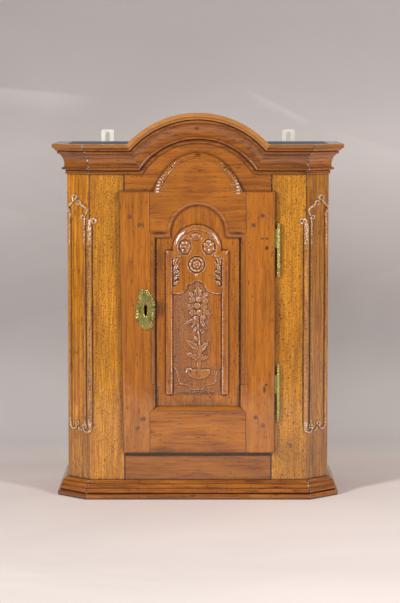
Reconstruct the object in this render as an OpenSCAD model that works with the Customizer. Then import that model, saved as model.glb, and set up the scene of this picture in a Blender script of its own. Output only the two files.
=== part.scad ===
// Small wall cabinet with canted corners, an arched cornice and one panelled door

/* [Case] */
// Width over the side boards
body_w = 484; // [460:1:540]
// Depth from the front of the face frame to the wall
body_d = 250; // [215:1:300]
// Height up to the top board's upper face
body_h = 655; // [640:1:720]
// Set-back of each canted front corner
cant_setback = 42; // [34:0.5:50]
// Thickness of the sides, corner posts and face frame
board_t = 20; // [18:0.5:23]
// Thickness of the top board
top_t = 18; // [12:0.5:24]
// Thickness of the floor board
floor_t = 18; // [12:0.5:24]
// Thickness of the shelf
shelf_t = 15; // [10:0.5:20]
// Height of the shelf's upper face
shelf_z = 352; // [250:1:440]
// Set-back of the shelf's front edge behind the face frame
shelf_setback = 42; // [35:1:80]
// Depth of the grooves that hold the shelf and the floor
dado_depth = 6; // [3:0.5:9]
// Thickness of the back boards
back_t = 11; // [8:0.5:14]
// Distance of the back boards from the wall
back_inset = 3; // [2.6:0.1:5]
// Width of the rebate that takes the back boards
rebate_w = 8; // [5:0.5:12]

/* [Face frame] */
// Width of the door opening
opening_w = 271; // [261:1:281]
// Height of the opening's lower edge
opening_bottom = 93; // [88:1:100]
// Length of the tenons on the face frame's rails
frame_tenon = 30; // [15:1:40]
// Thickness of those tenons
frame_tenon_t = 7; // [5:0.5:8]

/* [Base moulding] */
// Height of the base moulding
base_h = 34.5; // [32:0.5:44]
// Projection of the base moulding
base_proj = 20; // [18:0.5:28]

/* [Cornice] */
// Height of the cornice
cornice_h = 55; // [53:0.5:60]
// Projection of the cornice
cornice_proj = 27.5; // [26:0.5:36]
// Outer radius of the arched middle
cornice_arch_r = 175.5; // [172:0.5:184]
// Depth of the arch's centre below the top board's upper face
arch_centre_drop = 118; // [112:0.5:124]

/* [Door] */
// Thickness of the lip that stands in front of the face frame
lip_t = 14; // [13:0.5:18]
// Thickness of the part that enters the opening
rebate_t = 8; // [6:0.5:11]
// Gap between the lip and the face frame
lip_gap = 0.3; // [0.2:0.05:0.5]
// Clearance of the door in the opening
door_clear = 1.2; // [0.8:0.1:2]
// Lip over the frame on the hinge side
lip_hinge = 6; // [5:0.5:7]
// Lip over the frame at the top of the lock side, which is cut out of square
lip_lock_top = 9; // [3:0.5:12]
// Lip over the frame at the bottom of the lock side
lip_lock_bottom = 1.5; // [1:0.5:6]
// Lip over the frame below and above the opening
lip_rail = 7.5; // [5:0.5:9]
// Distance of the door's shoulders below the top board's upper face
shoulder_drop = 86; // [84:0.5:92]
// Rise of the door's arch above its shoulders
arch_rise = 71; // [66:0.5:73]
// Radius of the arch's crown
crown_r = 70; // [68:0.5:71]
// Angle from the crown's middle to each haunch
crown_angle = 48; // [45:1:52]
// Radius of the arch's haunches
haunch_r = 160; // [155:1:170]
// Radius of the rounded lip edge
lip_round = 5; // [3:0.5:6]
// Width of the moulded edge on the arch
arch_edge_w = 10.5; // [9.5:0.5:12]

/* [Door frame] */
// Distance from the opening's edge to the shoulders of the rails
stile_cover = 46.5; // [44:0.5:48]
// Distance from the rails' shoulders to the panel's sight opening
seam_step = 10; // [9:0.5:13]
// Height of the sight opening's lower edge above the door's lower edge
sight_bottom = 87; // [80:1:100]
// Distance of the sight opening's square shoulders below the door's shoulders
sight_drop = 85; // [82:1:90]
// Half width of the arched head of the sight opening
sight_arch_r = 50; // [46:0.5:52]
// Straight height below the sight opening's arch
sight_leg = 9.5; // [6:0.5:12]
// Width of the rounded moulding along the sight opening
stick_w = 8; // [7:0.5:9]
// Length of the tenons on the door's rails
door_tenon = 42; // [40:1:44]
// Width of the lower rail's tenons
tenon_w = 41; // [36:1:43]
// Width of the upper rail's tenons
tenon_top_w = 44; // [38:1:46]
// Clearance around tenons and tongues
joint_clear = 0.15; // [0.1:0.05:0.3]
// Diameter of the wooden pegs
peg_d = 7.5; // [6:0.5:9]

/* [Panel] */
// Thickness of the panel's flat margin
panel_t = 6.5; // [5.5:0.5:7.5]
// Depth of the margin below the door's front
panel_sink = 9.5; // [8.5:0.5:10.5]
// Depth that the panel's tongue enters the frame
tongue = 8; // [6:0.5:8.5]
// Flat margin beside the raised field
field_margin = 21; // [18:0.5:27]
// Offset of the raised field's centre to the lock side
field_shift = 1.4; // [0:0.1:4]
// Flat margin below the raised field
field_foot = 21.5; // [18:0.5:30]
// Drop of the field's shoulders below those of the sight opening
field_drop = 23; // [20:1:30]
// Radius of the field's arched head
field_arch_r = 45; // [40:0.5:48]
// Straight height below the field's arched head
field_leg = 2; // [1:0.5:6]
// Height of the field's border above the margin
field_rise = 5.5; // [4.5:0.5:7]
// Width of the border's roll
field_roll = 12; // [9:0.5:13]
// Width and depth of the quirk inside that roll
field_quirk = 1.3; // [0.8:0.1:1.6]
// Radius of the carved rosette
rosette_r = 15; // [12:0.5:18]
// Height of the carved reliefs above the ground
relief = 1.4; // [1:0.1:2]

/* [Hinges] */
// Radius of a hinge barrel
barrel_r = 3.1; // [2.8:0.1:3.4]
// Radius of a hinge pin
pin_r = 1.6; // [1.2:0.1:1.8]
// Running clearance of the pin in the door's knuckle, on the radius
pin_clear = 0.05; // [0.03:0.01:0.08]
// Distance of the hinge axis outside the door's edge
hinge_out = 6.5; // [6:0.5:8]
// Thickness of a hinge leaf
leaf_t = 1.6; // [1.2:0.1:2]
// Length of the door's leaf from the hinge axis
leaf_door = 30; // [24:1:36]
// Length of the frame's leaf from the hinge axis
leaf_frame = 21; // [18:1:24]
// Distance of the upper hinge's joint below the door's shoulders
hinge_drop = 105; // [95:0.5:130]
// Height of the lower hinge's joint above the door's lower edge
hinge_low = 108.5; // [95:0.5:130]
// Length of the upper knuckle, on the door
knuckle_up = 38; // [30:1:42]
// Length of the lower knuckle, on the frame
knuckle_down = 34; // [30:1:42]

/* [Lock] */
// Height of the keyhole's middle above the door's lower edge
lock_z = 266.5; // [245:0.5:280]
// Distance of the keyhole from the rails' shoulders
key_inset = 7; // [5:0.5:9]
// Width of the lock case
lock_w = 55; // [51:1:60]
// Height of the lock case
lock_h = 72; // [64:1:80]
// Depth of the lock case
lock_d = 13; // [12:0.5:15]
// Thickness of the lock's sheet iron
sheet_t = 1.5; // [1:0.1:1.8]
// Height of the bolt
bolt_h = 18; // [14:0.5:22]
// Thickness of the bolt
bolt_t = 6; // [5:0.5:7]
// Travel of the bolt
bolt_throw = 10; // [8:0.5:11]
// Clearance around the bolt
bolt_clear = 0.3; // [0.2:0.05:0.5]
// Radius of the keyhole's round head
keyhole_r = 3.6; // [3.4:0.1:4.2]
// Width of the keyhole's slot
keyhole_slot = 5; // [4.6:0.1:6]
// Height of the keyhole
keyhole_h = 23; // [18:0.5:26]
// Radius of the post that guides the key
post_r = 1.5; // [1.2:0.1:2]

/* [Escutcheon] */
// Height of the escutcheon
plate_h = 78; // [72:1:84]
// Width of the escutcheon
plate_w = 36; // [33:1:40]
// Thickness of the escutcheon
plate_t = 1.4; // [1:0.1:2]

/* [Wall hangers] */
// Width of a hanger plate
hanger_w = 24.5; // [20:0.5:30]
// Thickness of a hanger plate
hanger_t = 2; // [1.5:0.1:2.4]
// Height of a hanger above the top board
hanger_rise = 23; // [20:0.5:30]
// Length of a hanger below the top board's upper face
hanger_tail = 85; // [75:1:110]
// Width of the hanging slot
slot_w = 8.5; // [7:0.5:10]
// Distance of each hanger's middle from the cabinet's side
hanger_in = 67; // [52:1:92]
// Radius of a hanger screw's shank
screw_r = 1.8; // [1.5:0.1:2.2]

/* [Corner beads] */
// Radius of the roll round each front corner
arris_r = 5; // [4:0.1:6]
// Radius of the corner bead's other rolls
roll_r = 3; // [2.5:0.1:3.6]
// Distance of the inner roll from the front corner, along the cant
inner_roll = 11.5; // [10:0.5:14]
// Height of the corner beads' lower end
bead_foot = 139; // [125:1:160]
// Distance of the corner beads' upper end below the top board's upper face
bead_drop = 126; // [120:1:145]
// Distance of the outer bead from the side edge
bead_edge = 4.5; // [2:0.5:6]

/* [Hidden] */
$fn = 72;
eps = 0.01;
hair = 0.05;

half_w = body_w / 2;
front_half = half_w - cant_setback;
open_half = opening_w / 2;
bisector = tan(22.5);
centre_y = -(body_d - cornice_proj) / 2;
floor_top = opening_bottom - 2;
under_top = body_h - top_t;
back_face = body_d - back_inset;
back_front = back_face - back_t;
fit = joint_clear;

cornice_z = body_h - cornice_h;
arch_z = body_h - arch_centre_drop;
arch_in_r = cornice_arch_r - cornice_h;
mitre_low = sqrt(pow(arch_in_r, 2) - pow(cornice_z - arch_z, 2));
mitre_high = sqrt(pow(cornice_arch_r, 2) - pow(arch_centre_drop, 2));
mitre_lean = (mitre_high - mitre_low) / cornice_h;

shoulder_z = body_h - shoulder_drop;
open_top = shoulder_z - lip_rail;
door_bottom = opening_bottom - lip_rail;
front_y = -lip_t;
lip_back = -lip_gap;
door_back = rebate_t;
hinge_edge = open_half + lip_hinge;
lock_edge_top = -open_half - lip_lock_top;
lock_edge_bottom = -open_half - lip_lock_bottom;
lean = atan((lock_edge_bottom - lock_edge_top) / (shoulder_z - door_bottom));
bottom_tenon = [base_h + 4, opening_bottom - 12];
top_tenon = [open_top + 12, cornice_z - 4];
crown_z = shoulder_z + arch_rise - crown_r;
haunch_dx = (haunch_r - crown_r) * sin(crown_angle);
haunch_z = crown_z - (haunch_r - crown_r) * cos(crown_angle);

rail_half = open_half - stile_cover;
sight_half = rail_half - seam_step;
sight_low = door_bottom + sight_bottom;
sight_high = shoulder_z - sight_drop;
sight_arch_z = sight_high + sight_leg;
margin_y = front_y + panel_sink;
panel_back = margin_y + panel_t;
field_low = sight_low + field_foot;
field_high = sight_high - field_drop;
field_half = sight_half - field_margin;
field_top_y = margin_y - field_rise + 0.2;
ground_y = field_top_y + relief;
// Middle of the sunk ovals in the field's head, from the field's axis and its shoulders
oval_x = 21.5;
oval_z = 6;
tenon_low = [sight_low - tongue - 5 - tenon_w, sight_low - tongue - 5];
tenon_high = [sight_high + seam_step + 2, sight_high + seam_step + 2 + tenon_top_w];

// Pegs: seam side (-1 lock, 1 hinge), distance from the seam, and height
PEGS = [
    [-1, 35.5, tenon_high[0] + 27], [-1, 17.5, tenon_high[0] + 12.5],
    [1, 29.5, tenon_high[0] + 29], [1, 13, tenon_high[0] + 11.5],
    [-1, 11, tenon_low[1] - 9.5], [-1, 22, tenon_low[1] - 27],
    [1, 17.5, tenon_low[1] - 7], [1, 31, tenon_low[1] - 22]
];

hinge_x = hinge_edge + hinge_out;
hinge_y = front_y / 2;
leaf_slack = 0.15;
knuckle_gap = 0.3;
nail_r = 1.5;
nail_in = 22;
frame_nail = 26;
// Joint height, length of the upper finial and length of the lower finial
HINGES = [[shoulder_z - hinge_drop, 9, 18], [door_bottom + hinge_low, 19, 17]];

key_x = -rail_half - key_inset;
key_z = door_bottom + lock_z;
post_z = key_z + keyhole_h / 2 - keyhole_r;
lock_edge = -open_half + door_clear + 2;
lock_z0 = key_z - lock_h / 2;
bolt_z = key_z - 8;
bolt_y = door_back + sheet_t + bolt_clear + bolt_t / 2;
bolt_tail = 38;
case_rim = 10;
lock_screw_spots = [[4.5, 5], [lock_w - 30, 5], [4.5, lock_h - 5], [lock_w - 30, lock_h - 5]];
strike_t = 1.5;
strike_h = bolt_h + 26;
escutcheon_pin_spots = [[-2, plate_h / 2 - 6.5], [3, 8 - plate_h / 2]];
slot_low = body_h - 4;
hanger_x = half_w - hanger_in;
hanger_top = body_h + hanger_rise;
slot_top = hanger_top - 4.5;
hanger_bottom = body_h - hanger_tail;
screw_rows = [hanger_bottom + 12, hanger_bottom + 37];

bead_top = body_h - bead_drop;
cant_face = cant_setback * sqrt(2);

WALNUT = [0.74, 0.50, 0.26];
WALNUT_DOOR = [0.70, 0.41, 0.18];
WALNUT_DARK = [0.62, 0.36, 0.17];
SOFTWOOD = [0.72, 0.60, 0.42];
TOP_DARK = [0.32, 0.31, 0.32];
BRASS = [0.68, 0.58, 0.30];
IRON = [0.30, 0.29, 0.28];
STEEL = [0.80, 0.78, 0.72];

// The origin lies under the middle of the whole cabinet, and +Y points at the wall
module place() {
    translate([0, centre_y, 0]) children();
}

module right_or_left(side) {
    if (side > 0) children();
    else mirror([1, 0, 0]) children();
}

// A flat shape drawn in front view, as a board from y = from to y = to
module board(from, to) {
    translate([0, to, 0]) rotate([90, 0, 0]) linear_extrude(height = to - from) children();
}

// A moulding profile (x outward, y up) as a strip along Y, facing +X
module strip(len) {
    rotate([90, 0, 0]) linear_extrude(height = len, center = true) children();
}

// Plan of the wedge between the mitres of one straight run of moulding
module plan_wedge(points, height) {
    translate([0, 0, -1]) linear_extrude(height = height + 2) polygon(points);
}

// Mouldings

// One reed of a moulding, which swells out to reach over its whole height
module reed(reach, low, height) {
    swell = height / 5;
    r = (height * height / 4 + swell * swell) / (2 * swell);
    intersection() {
        translate([reach - r, low + height / 2]) circle(r = r);
        translate([0, low]) square([reach, height]);
    }
}

// Two reeds and a long rounded slope above them
module base_profile() {
    band = base_h * 0.285;
    reed(base_proj, 0, band);
    reed(base_proj - 4, band, band);
    intersection() {
        translate([0, 2 * band - eps]) square([base_proj - 6, base_h - 2 * band + eps]);
        translate([base_proj - 31.7, base_h - 18.6]) circle(r = 25, $fn = 120);
    }
}

// From below: foot, quirk, bead, cove, round strip and a cap with a hollow under its edge
module cornice_profile() {
    cap = 12;
    strip_h = 6;
    foot = 5.5;
    quirk = 2;
    bead = 4.5;
    neck = cornice_proj - 22.5;
    crest = cornice_proj - 13;
    cove_low = foot + quirk + bead;
    cove_high = cornice_h - cap - strip_h;
    cove_deep = cove_low + 5;
    cove_run = crest - 0.2 - neck;
    cove_r = (pow(cove_run, 2) + pow(cove_high - cove_deep, 2)) / (2 * cove_run);
    square([neck - 3, cornice_h]);
    square([neck - 1.8, foot]);
    translate([0, foot + quirk]) square([neck + 2.5, bead]);
    translate([neck + 2.5, foot + quirk + bead / 2]) circle(r = bead / 2);
    difference() {
        translate([0, cove_low - hair]) square([crest, cove_high - cove_low + 2 * hair]);
        translate([neck + cove_r, cove_deep]) circle(r = cove_r, $fn = 180);
    }
    translate([0, cove_high]) square([crest + 0.6, strip_h + hair]);
    translate([crest + 0.6, cove_high + strip_h / 2]) circle(r = strip_h / 2 + 0.4);
    translate([0, cornice_h - cap]) difference() {
        square([cornice_proj, cap]);
        translate([cornice_proj + 1, -2.5]) circle(r = 7.6);
    }
}

// One straight run: the middle of its back line, its facing angle and its mitred plan
module moulding_run(at, angle, points, height) {
    intersection() {
        translate([at[0], at[1], 0]) rotate([0, 0, angle]) strip(2 * body_w) children();
        plan_wedge(points, height);
    }
}

// Corner of the case on the right, moved outward by p: front corner, then side corner
function front_corner(p) = [front_half + p * bisector, -p];
function side_corner(p) = [half_w + p, cant_setback - p * bisector];

module base_cant(side) {
    reach = base_proj + 4;
    place() color(WALNUT_DARK) right_or_left(side)
        moulding_run([front_half, 0], -45,
            [front_corner(0), side_corner(0), side_corner(reach), front_corner(reach)], base_h)
            base_profile();
}

module base_side(side) {
    reach = base_proj + 4;
    place() color(WALNUT_DARK) right_or_left(side)
        moulding_run([half_w, 0], 0,
            [side_corner(0), [half_w, body_d], [half_w + reach, body_d], side_corner(reach)], base_h)
            base_profile();
}

module base_front() {
    reach = base_proj + 4;
    p = front_corner(0);
    q = front_corner(reach);
    place() color(WALNUT_DARK)
        moulding_run([0, 0], -90, [p, [-p[0], p[1]], [-q[0], q[1]], q], base_h) base_profile();
}

module cornice_cant(side) {
    reach = cornice_proj + 4;
    place() color(WALNUT_DARK) right_or_left(side) translate([0, 0, cornice_z])
        moulding_run([front_half, 0], -45,
            [front_corner(0), side_corner(0), side_corner(reach), front_corner(reach)], cornice_h)
            cornice_profile();
}

module cornice_side(side) {
    reach = cornice_proj + 4;
    place() color(WALNUT_DARK) right_or_left(side) translate([0, 0, cornice_z])
        moulding_run([half_w, 0], 0,
            [side_corner(0), [half_w, body_d], [half_w + reach, body_d], side_corner(reach)],
            cornice_h)
            cornice_profile();
}

// Front view of the wedge that the arched piece fills, between its two mitres
module arch_wedge() {
    high = 2 * cornice_arch_r;
    polygon([
        [-mitre_low, cornice_z], [-mitre_low - high * mitre_lean, cornice_z + high],
        [mitre_low + high * mitre_lean, cornice_z + high], [mitre_low, cornice_z]
    ]);
}

module cornice_front(side) {
    reach = cornice_proj + 4;
    q = front_corner(reach);
    place() color(WALNUT_DARK) right_or_left(side) difference() {
        translate([0, 0, cornice_z])
            moulding_run([0, 0], -90, [[mitre_low - 1, 0], front_corner(0), q, [mitre_low - 1, -reach]],
                cornice_h)
                cornice_profile();
        board(-reach, 1) arch_wedge();
    }
}

module cornice_arch() {
    place() color(WALNUT_DARK) intersection() {
        translate([0, 0, arch_z]) rotate([90, 0, 0])
            rotate_extrude($fn = 180) translate([arch_in_r, 0]) mirror([1, -1]) cornice_profile();
        board(-cornice_proj - 1, 0) arch_wedge();
    }
}

// Case

module side_board(side) {
    place() color(WALNUT_DARK) right_or_left(side) difference() {
        linear_extrude(height = under_top) polygon([
            side_corner(0), [half_w, body_d], [half_w - board_t, body_d], side_corner(-board_t)
        ]);
        translate([half_w - board_t - 1, back_front - fit, -1])
            cube([rebate_w + 1, body_d - back_front + 1, under_top + 2]);
        translate([half_w - board_t - 1, board_t + cant_setback, floor_top - floor_t - fit])
            cube([dado_depth + 1, back_front - board_t - cant_setback + fit, floor_t + 2 * fit]);
        translate([half_w - board_t - 1, shelf_setback - fit + board_t, shelf_z - shelf_t - fit])
            cube([dado_depth + 1, back_front - shelf_setback - board_t + 2 * fit, shelf_t + 2 * fit]);
    }
}

module corner_post(side) {
    place() color(WALNUT) right_or_left(side)
        linear_extrude(height = under_top) polygon([
            front_corner(0), side_corner(0), side_corner(-board_t), front_corner(-board_t)
        ]);
}

module frame_tenon_block(z0, z1, grow) {
    translate([open_half - 1, (board_t - frame_tenon_t) / 2 - grow, z0 - grow])
        cube([frame_tenon + 1 + grow, frame_tenon_t + 2 * grow, z1 - z0 + 2 * grow]);
}

module frame_stile(side) {
    place() color(WALNUT) difference() {
        right_or_left(side) difference() {
            linear_extrude(height = under_top) polygon([
                [open_half, 0], front_corner(0), front_corner(-board_t), [open_half, board_t]
            ]);
            frame_tenon_block(bottom_tenon[0], bottom_tenon[1], fit);
            frame_tenon_block(top_tenon[0], top_tenon[1], fit);
        }
        if (side > 0) {
            for (h = HINGES) frame_leaf_slot(h);
            hinge_nail_holes_frame();
        } else {
            bolt_mortise();
            strike_recess();
        }
    }
}

module frame_rail_bottom() {
    place() color(WALNUT_DOOR) {
        translate([-open_half, 0, 0]) cube([opening_w, board_t, opening_bottom]);
        for (side = [-1, 1]) right_or_left(side)
            frame_tenon_block(bottom_tenon[0], bottom_tenon[1], 0);
    }
}

// Outline of the door's arch in front view, moved inward by inset
module arch_outline(inset) {
    wide = 2 * crown_r;
    difference() {
        intersection() {
            for_both() translate([-haunch_dx, haunch_z]) circle(r = haunch_r - inset, $fn = 180);
            translate([-wide, shoulder_z - 40]) square([2 * wide, 2 * wide]);
        }
        difference() {
            polygon([
                [0, crown_z], [wide * sin(crown_angle), crown_z + wide * cos(crown_angle)],
                [-wide * sin(crown_angle), crown_z + wide * cos(crown_angle)]
            ]);
            translate([0, crown_z]) circle(r = crown_r - inset, $fn = 120);
        }
    }
}

// The shape that lies in both the child and its mirror image
module for_both() {
    intersection() {
        children();
        mirror([1, 0]) children();
    }
}

// Outline of the opening in the face frame, moved inward by inset
module opening_outline(inset) {
    translate([-open_half + inset, opening_bottom + inset])
        square([opening_w - 2 * inset, open_top - opening_bottom - 2 * inset]);
    arch_outline(lip_rail + inset);
}

module frame_rail_top() {
    place() color(WALNUT_DOOR) {
        board(0, board_t) difference() {
            union() {
                translate([-open_half, open_top]) square([opening_w, body_h - open_top]);
                intersection() {
                    translate([0, arch_z]) circle(r = cornice_arch_r, $fn = 180);
                    translate([-open_half, body_h - 1]) square([opening_w, cornice_arch_r]);
                }
            }
            opening_outline(0);
        }
        for (side = [-1, 1]) right_or_left(side)
            frame_tenon_block(top_tenon[0], top_tenon[1], 0);
    }
}

module bottom_board() {
    reach = half_w - board_t + dado_depth - fit;
    inner = side_corner(-board_t);
    nose = front_corner(-board_t);
    start = board_t + cant_setback + fit;
    place() color(SOFTWOOD) translate([0, 0, floor_top - floor_t]) linear_extrude(height = floor_t)
        polygon([
            [-nose[0] + fit, board_t], [nose[0] - fit, board_t],
            [inner[0] - fit, inner[1]], [inner[0] - fit, start], [reach, start],
            [reach, back_front], [-reach, back_front], [-reach, start],
            [-inner[0] + fit, start], [-inner[0] + fit, inner[1]]
        ]);
}

module top_board() {
    place() color(TOP_DARK) translate([0, 0, under_top]) difference() {
        linear_extrude(height = top_t) polygon([
            [-front_half, 0], [front_half, 0], [half_w, cant_setback], [half_w, back_face],
            [-half_w, back_face], [-half_w, cant_setback]
        ]);
        translate([-open_half - fit, -1, -1]) cube([opening_w + 2 * fit, board_t + 1 + fit, top_t + 2]);
    }
}

module shelf() {
    reach = half_w - board_t + dado_depth - fit;
    front = shelf_setback + board_t;
    place() color(SOFTWOOD) translate([-reach, front, shelf_z - shelf_t])
        cube([2 * reach, back_front - front, shelf_t]);
}

// Back boards: three equal widths, the outer two lie in the side boards' rebates
module back_board(index) {
    span = body_w - 2 * board_t + 2 * rebate_w - 2 * fit;
    wide = span / 3;
    place() color(SOFTWOOD) difference() {
        union() {
            translate([-span / 2 + index * wide, back_front, 0]) cube([wide - fit, back_t, under_top]);
            // Tongue towards the next board
            if (index < 2)
                translate([-span / 2 + (index + 1) * wide - 1, back_front + back_t / 3 + fit, 0])
                    cube([6, back_t / 3 - 2 * fit, under_top]);
        }
        if (index > 0)
            translate([-span / 2 + index * wide - 1, back_front + back_t / 3, -1])
                cube([7, back_t / 3, under_top + 2]);
        hanger_screw_holes();
    }
}

// Corner beads: a roll round each front corner and two rolls on the cant, with scrolled ends.
// They are drawn as full round rods along the faces, and the case is then taken out of them.

module case_plan() {
    polygon([[0, 0], front_corner(0), side_corner(0), [0, half_w]]);
}

// Work on the right canted face: x from the front corner to the side, y up, z outward
module on_cant() {
    translate([front_half, 0, 0]) rotate([0, 0, 45]) rotate([90, 0, 0]) children();
}

module rod(len, r) {
    rotate([-90, 0, 0]) linear_extrude(height = len) rotate(90) circle(r = r);
}

// A ball whose poles lie along X, inside what it joins
module ball(r) {
    rotate([0, 90, 0]) sphere(r = r, $fn = 32);
}

// A rod along the points of a line, with a knob a little larger than the rod at each bend
module rod_along(points, r) {
    for (i = [0:len(points) - 2]) {
        run = points[i + 1] - points[i];
        before = i > 0 ? points[i] - points[i - 1] : run;
        middle = run / norm(run) + before / norm(before);
        translate([points[i][0], points[i][1], 0]) {
            rotate([0, 0, atan2(run[1], run[0]) - 90]) rod(norm(run), r);
            rotate([0, 0, atan2(middle[1], middle[0])]) ball(r + 0.4);
        }
    }
}

// A scroll: a ring that curls round its eye
module scroll(at, radius, r) {
    translate([at[0], at[1], 0]) {
        rotate_extrude() translate([radius, 0]) rotate(-90) circle(r = r, $fn = 32);
        ball(radius - r + 0.3);
    }
}

// Gable over the right cant's rolls: two slopes, each with a scroll at its upper end
module bead_head(outer_x) {
    peak = [cant_face * 0.66, bead_top + 26];
    inner_peak = [cant_face * 0.48, bead_top + 15];
    rod_along([[outer_x, bead_top], [outer_x + 1, bead_top + 9], peak - [-2, 6]], roll_r - 0.3);
    scroll(peak, 4, 1.6);
    rod_along([[inner_roll, bead_top - 8], [inner_roll - 3, bead_top + 8], inner_peak - [3, 2]],
        roll_r - 0.3);
    scroll(inner_peak, 3.4, 1.3);
}

// Two C-scrolls that meet in a cusp below the right cant's rolls
module bead_tail(outer_x) {
    cusp = [cant_face * 0.39, bead_foot - 14];
    scroll([inner_roll, bead_foot - 4], 4, 1.6);
    rod_along([cusp, [inner_roll - 2, bead_foot - 13], [arris_r, bead_foot - 4]], roll_r - 0.6);
    rod_along([cusp, cusp + [11, 7], [outer_x - 4, bead_foot - 9], [outer_x, bead_foot]], roll_r - 0.3);
    scroll(cusp + [8, 14], 3.4, 1.3);
}

module corner_bead(side) {
    outer_x = cant_face - bead_edge - roll_r;
    tall = bead_top - bead_foot;
    sink = arris_r * 0.42;
    place() color(WALNUT) right_or_left(side) difference() {
        union() {
            translate([front_half - sink * sin(22.5), sink * cos(22.5), bead_foot - 6])
                cylinder(r = arris_r, h = tall);
            // A scroll at the top lies flat on the face frame, beside the corner's roll
            translate([front_half, 0, 0]) rotate([90, 0, 0]) scroll([-8, bead_top - 15.5], 4, 2.2);
            on_cant() {
                translate([outer_x, bead_foot, 0]) rod(tall, roll_r);
                translate([inner_roll, bead_foot, 0]) rod(tall - 8, roll_r);
                bead_head(outer_x);
                bead_tail(outer_x);
            }
        }
        linear_extrude(height = body_h) case_plan();
    }
}

// Wall hangers

module wall_hanger(side) {
    place() color(STEEL) translate([side * hanger_x, 0, 0]) difference() {
        board(back_face, back_face + hanger_t) difference() {
            union() {
                translate([-hanger_w / 2, hanger_bottom + 4])
                    square([hanger_w, hanger_top - hanger_bottom - 8]);
                translate([-hanger_w / 2 + 4, hanger_bottom])
                    square([hanger_w - 8, hanger_top - hanger_bottom]);
                for (x = [-1, 1], z = [hanger_bottom + 4, hanger_top - 4])
                    translate([x * (hanger_w / 2 - 4), z]) circle(r = 4);
            }
            translate([0, slot_top - slot_w / 2]) circle(d = slot_w);
            translate([0, slot_low + slot_w / 2]) circle(d = slot_w);
            translate([-slot_w / 2, slot_low + slot_w / 2])
                square([slot_w, slot_top - slot_low - slot_w]);
        }
        for (z = screw_rows) translate([0, back_face - 1, z]) rotate([-90, 0, 0])
            cylinder(r = screw_r + 0.15, h = hanger_t + 2);
    }
}

module hanger_screw_holes() {
    for (side = [-1, 1], z = screw_rows)
        translate([side * hanger_x, back_front - 1, z]) rotate([-90, 0, 0])
            cylinder(r = screw_r + 0.05, h = back_t + 2);
}

// Round-headed screws that hold the hangers, inside the gap to the wall
module hanger_screws() {
    head = min(0.9, back_inset - hanger_t);
    place() color(STEEL) for (side = [-1, 1], z = screw_rows)
        translate([side * hanger_x, back_face + hanger_t, z]) rotate([90, 0, 0]) {
            translate([0, 0, -head]) cylinder(r = 2 * screw_r, h = head);
            cylinder(r = screw_r, h = hanger_t + back_t - 1);
        }
}

// Hinges

// Turned finial that grows along +Z from a barrel's end
module finial(len) {
    collar = len * 0.16;
    rotate_extrude() {
        square([barrel_r, collar * 0.6]);
        intersection() {
            union() {
                square([barrel_r * 0.7, len * 0.9]);
                translate([barrel_r * 0.55, len * 0.28]) circle(r = barrel_r * 0.5);
                translate([barrel_r * 0.4, len * 0.55]) circle(r = barrel_r * 0.48);
                translate([0, len - barrel_r * 0.62]) circle(r = barrel_r * 0.62);
            }
            square([barrel_r * 2, len]);
        }
    }
}

module door_leaf(h) {
    low = h[0] + knuckle_gap / 2;
    place() color(BRASS) translate([hinge_x, hinge_y, low]) difference() {
        union() {
            cylinder(r = barrel_r, h = knuckle_up);
            translate([0, 0, knuckle_up]) finial(h[1]);
            difference() {
                translate([-leaf_door, -leaf_t / 2, 2]) cube([leaf_door, leaf_t, knuckle_up - 4]);
                translate([-nail_in, -leaf_t, knuckle_up / 2]) rotate([-90, 0, 0])
                    cylinder(r = nail_r + 0.1, h = 2 * leaf_t);
            }
        }
        translate([0, 0, -1]) cylinder(r = pin_r + pin_clear, h = knuckle_up - 2 + 1);
    }
}

module frame_leaf(h) {
    top = h[0] - knuckle_gap / 2;
    place() color(BRASS) translate([hinge_x, hinge_y, top]) difference() {
        union() {
            translate([0, 0, -knuckle_down]) cylinder(r = barrel_r, h = knuckle_down);
            translate([0, 0, -knuckle_down]) mirror([0, 0, 1]) finial(h[2]);
            translate([-leaf_t / 2, 0, 2 - knuckle_down]) cube([leaf_t, leaf_frame, knuckle_down - 4]);
        }
        translate([0, 0, -knuckle_down + 2]) cylinder(r = pin_r + 0.02, h = knuckle_down);
        translate([-leaf_t, -hinge_y + board_t / 2, -knuckle_down / 2]) rotate([0, 90, 0])
            cylinder(r = nail_r + 0.1, h = 2 * leaf_t);
    }
}

module door_leaf_slot(h) {
    low = h[0] + knuckle_gap / 2;
    translate([hinge_x - leaf_door - leaf_slack, hinge_y - leaf_t / 2 - leaf_slack, low + 2 - leaf_slack])
        cube([leaf_door, leaf_t + 2 * leaf_slack, knuckle_up - 4 + 2 * leaf_slack]);
}

module frame_leaf_slot(h) {
    top = h[0] - knuckle_gap / 2;
    translate([hinge_x - leaf_t / 2 - leaf_slack, -1, top - knuckle_down + 2 - leaf_slack])
        cube([leaf_t + 2 * leaf_slack, leaf_frame + hinge_y + 1 + leaf_slack,
            knuckle_down - 4 + 2 * leaf_slack]);
}

module hinge_pins() {
    place() color(IRON) for (h = HINGES)
        translate([hinge_x, hinge_y, h[0] - knuckle_gap / 2 - knuckle_down + 2])
            cylinder(r = pin_r, h = knuckle_down + knuckle_gap + knuckle_up - 4 - 0.3);
}

// Nails through the door's leaves, driven from the front
module hinge_nails_door() {
    place() color(IRON) for (h = HINGES)
        translate([hinge_x - nail_in, front_y + 1.2, h[0] + knuckle_gap / 2 + knuckle_up / 2])
            rotate([-90, 0, 0]) cylinder(r = nail_r, h = lip_t + rebate_t - 4);
}

module hinge_nail_holes_door() {
    for (h = HINGES)
        translate([hinge_x - nail_in, 0, h[0] + knuckle_gap / 2 + knuckle_up / 2])
            rotate([-90, 0, 0]) {
                translate([0, 0, front_y - 1]) cylinder(r = 2.4, h = 2.2);
                translate([0, 0, front_y]) cylinder(r = nail_r + 0.1, h = lip_t + rebate_t - 2.5);
            }
}

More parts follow.
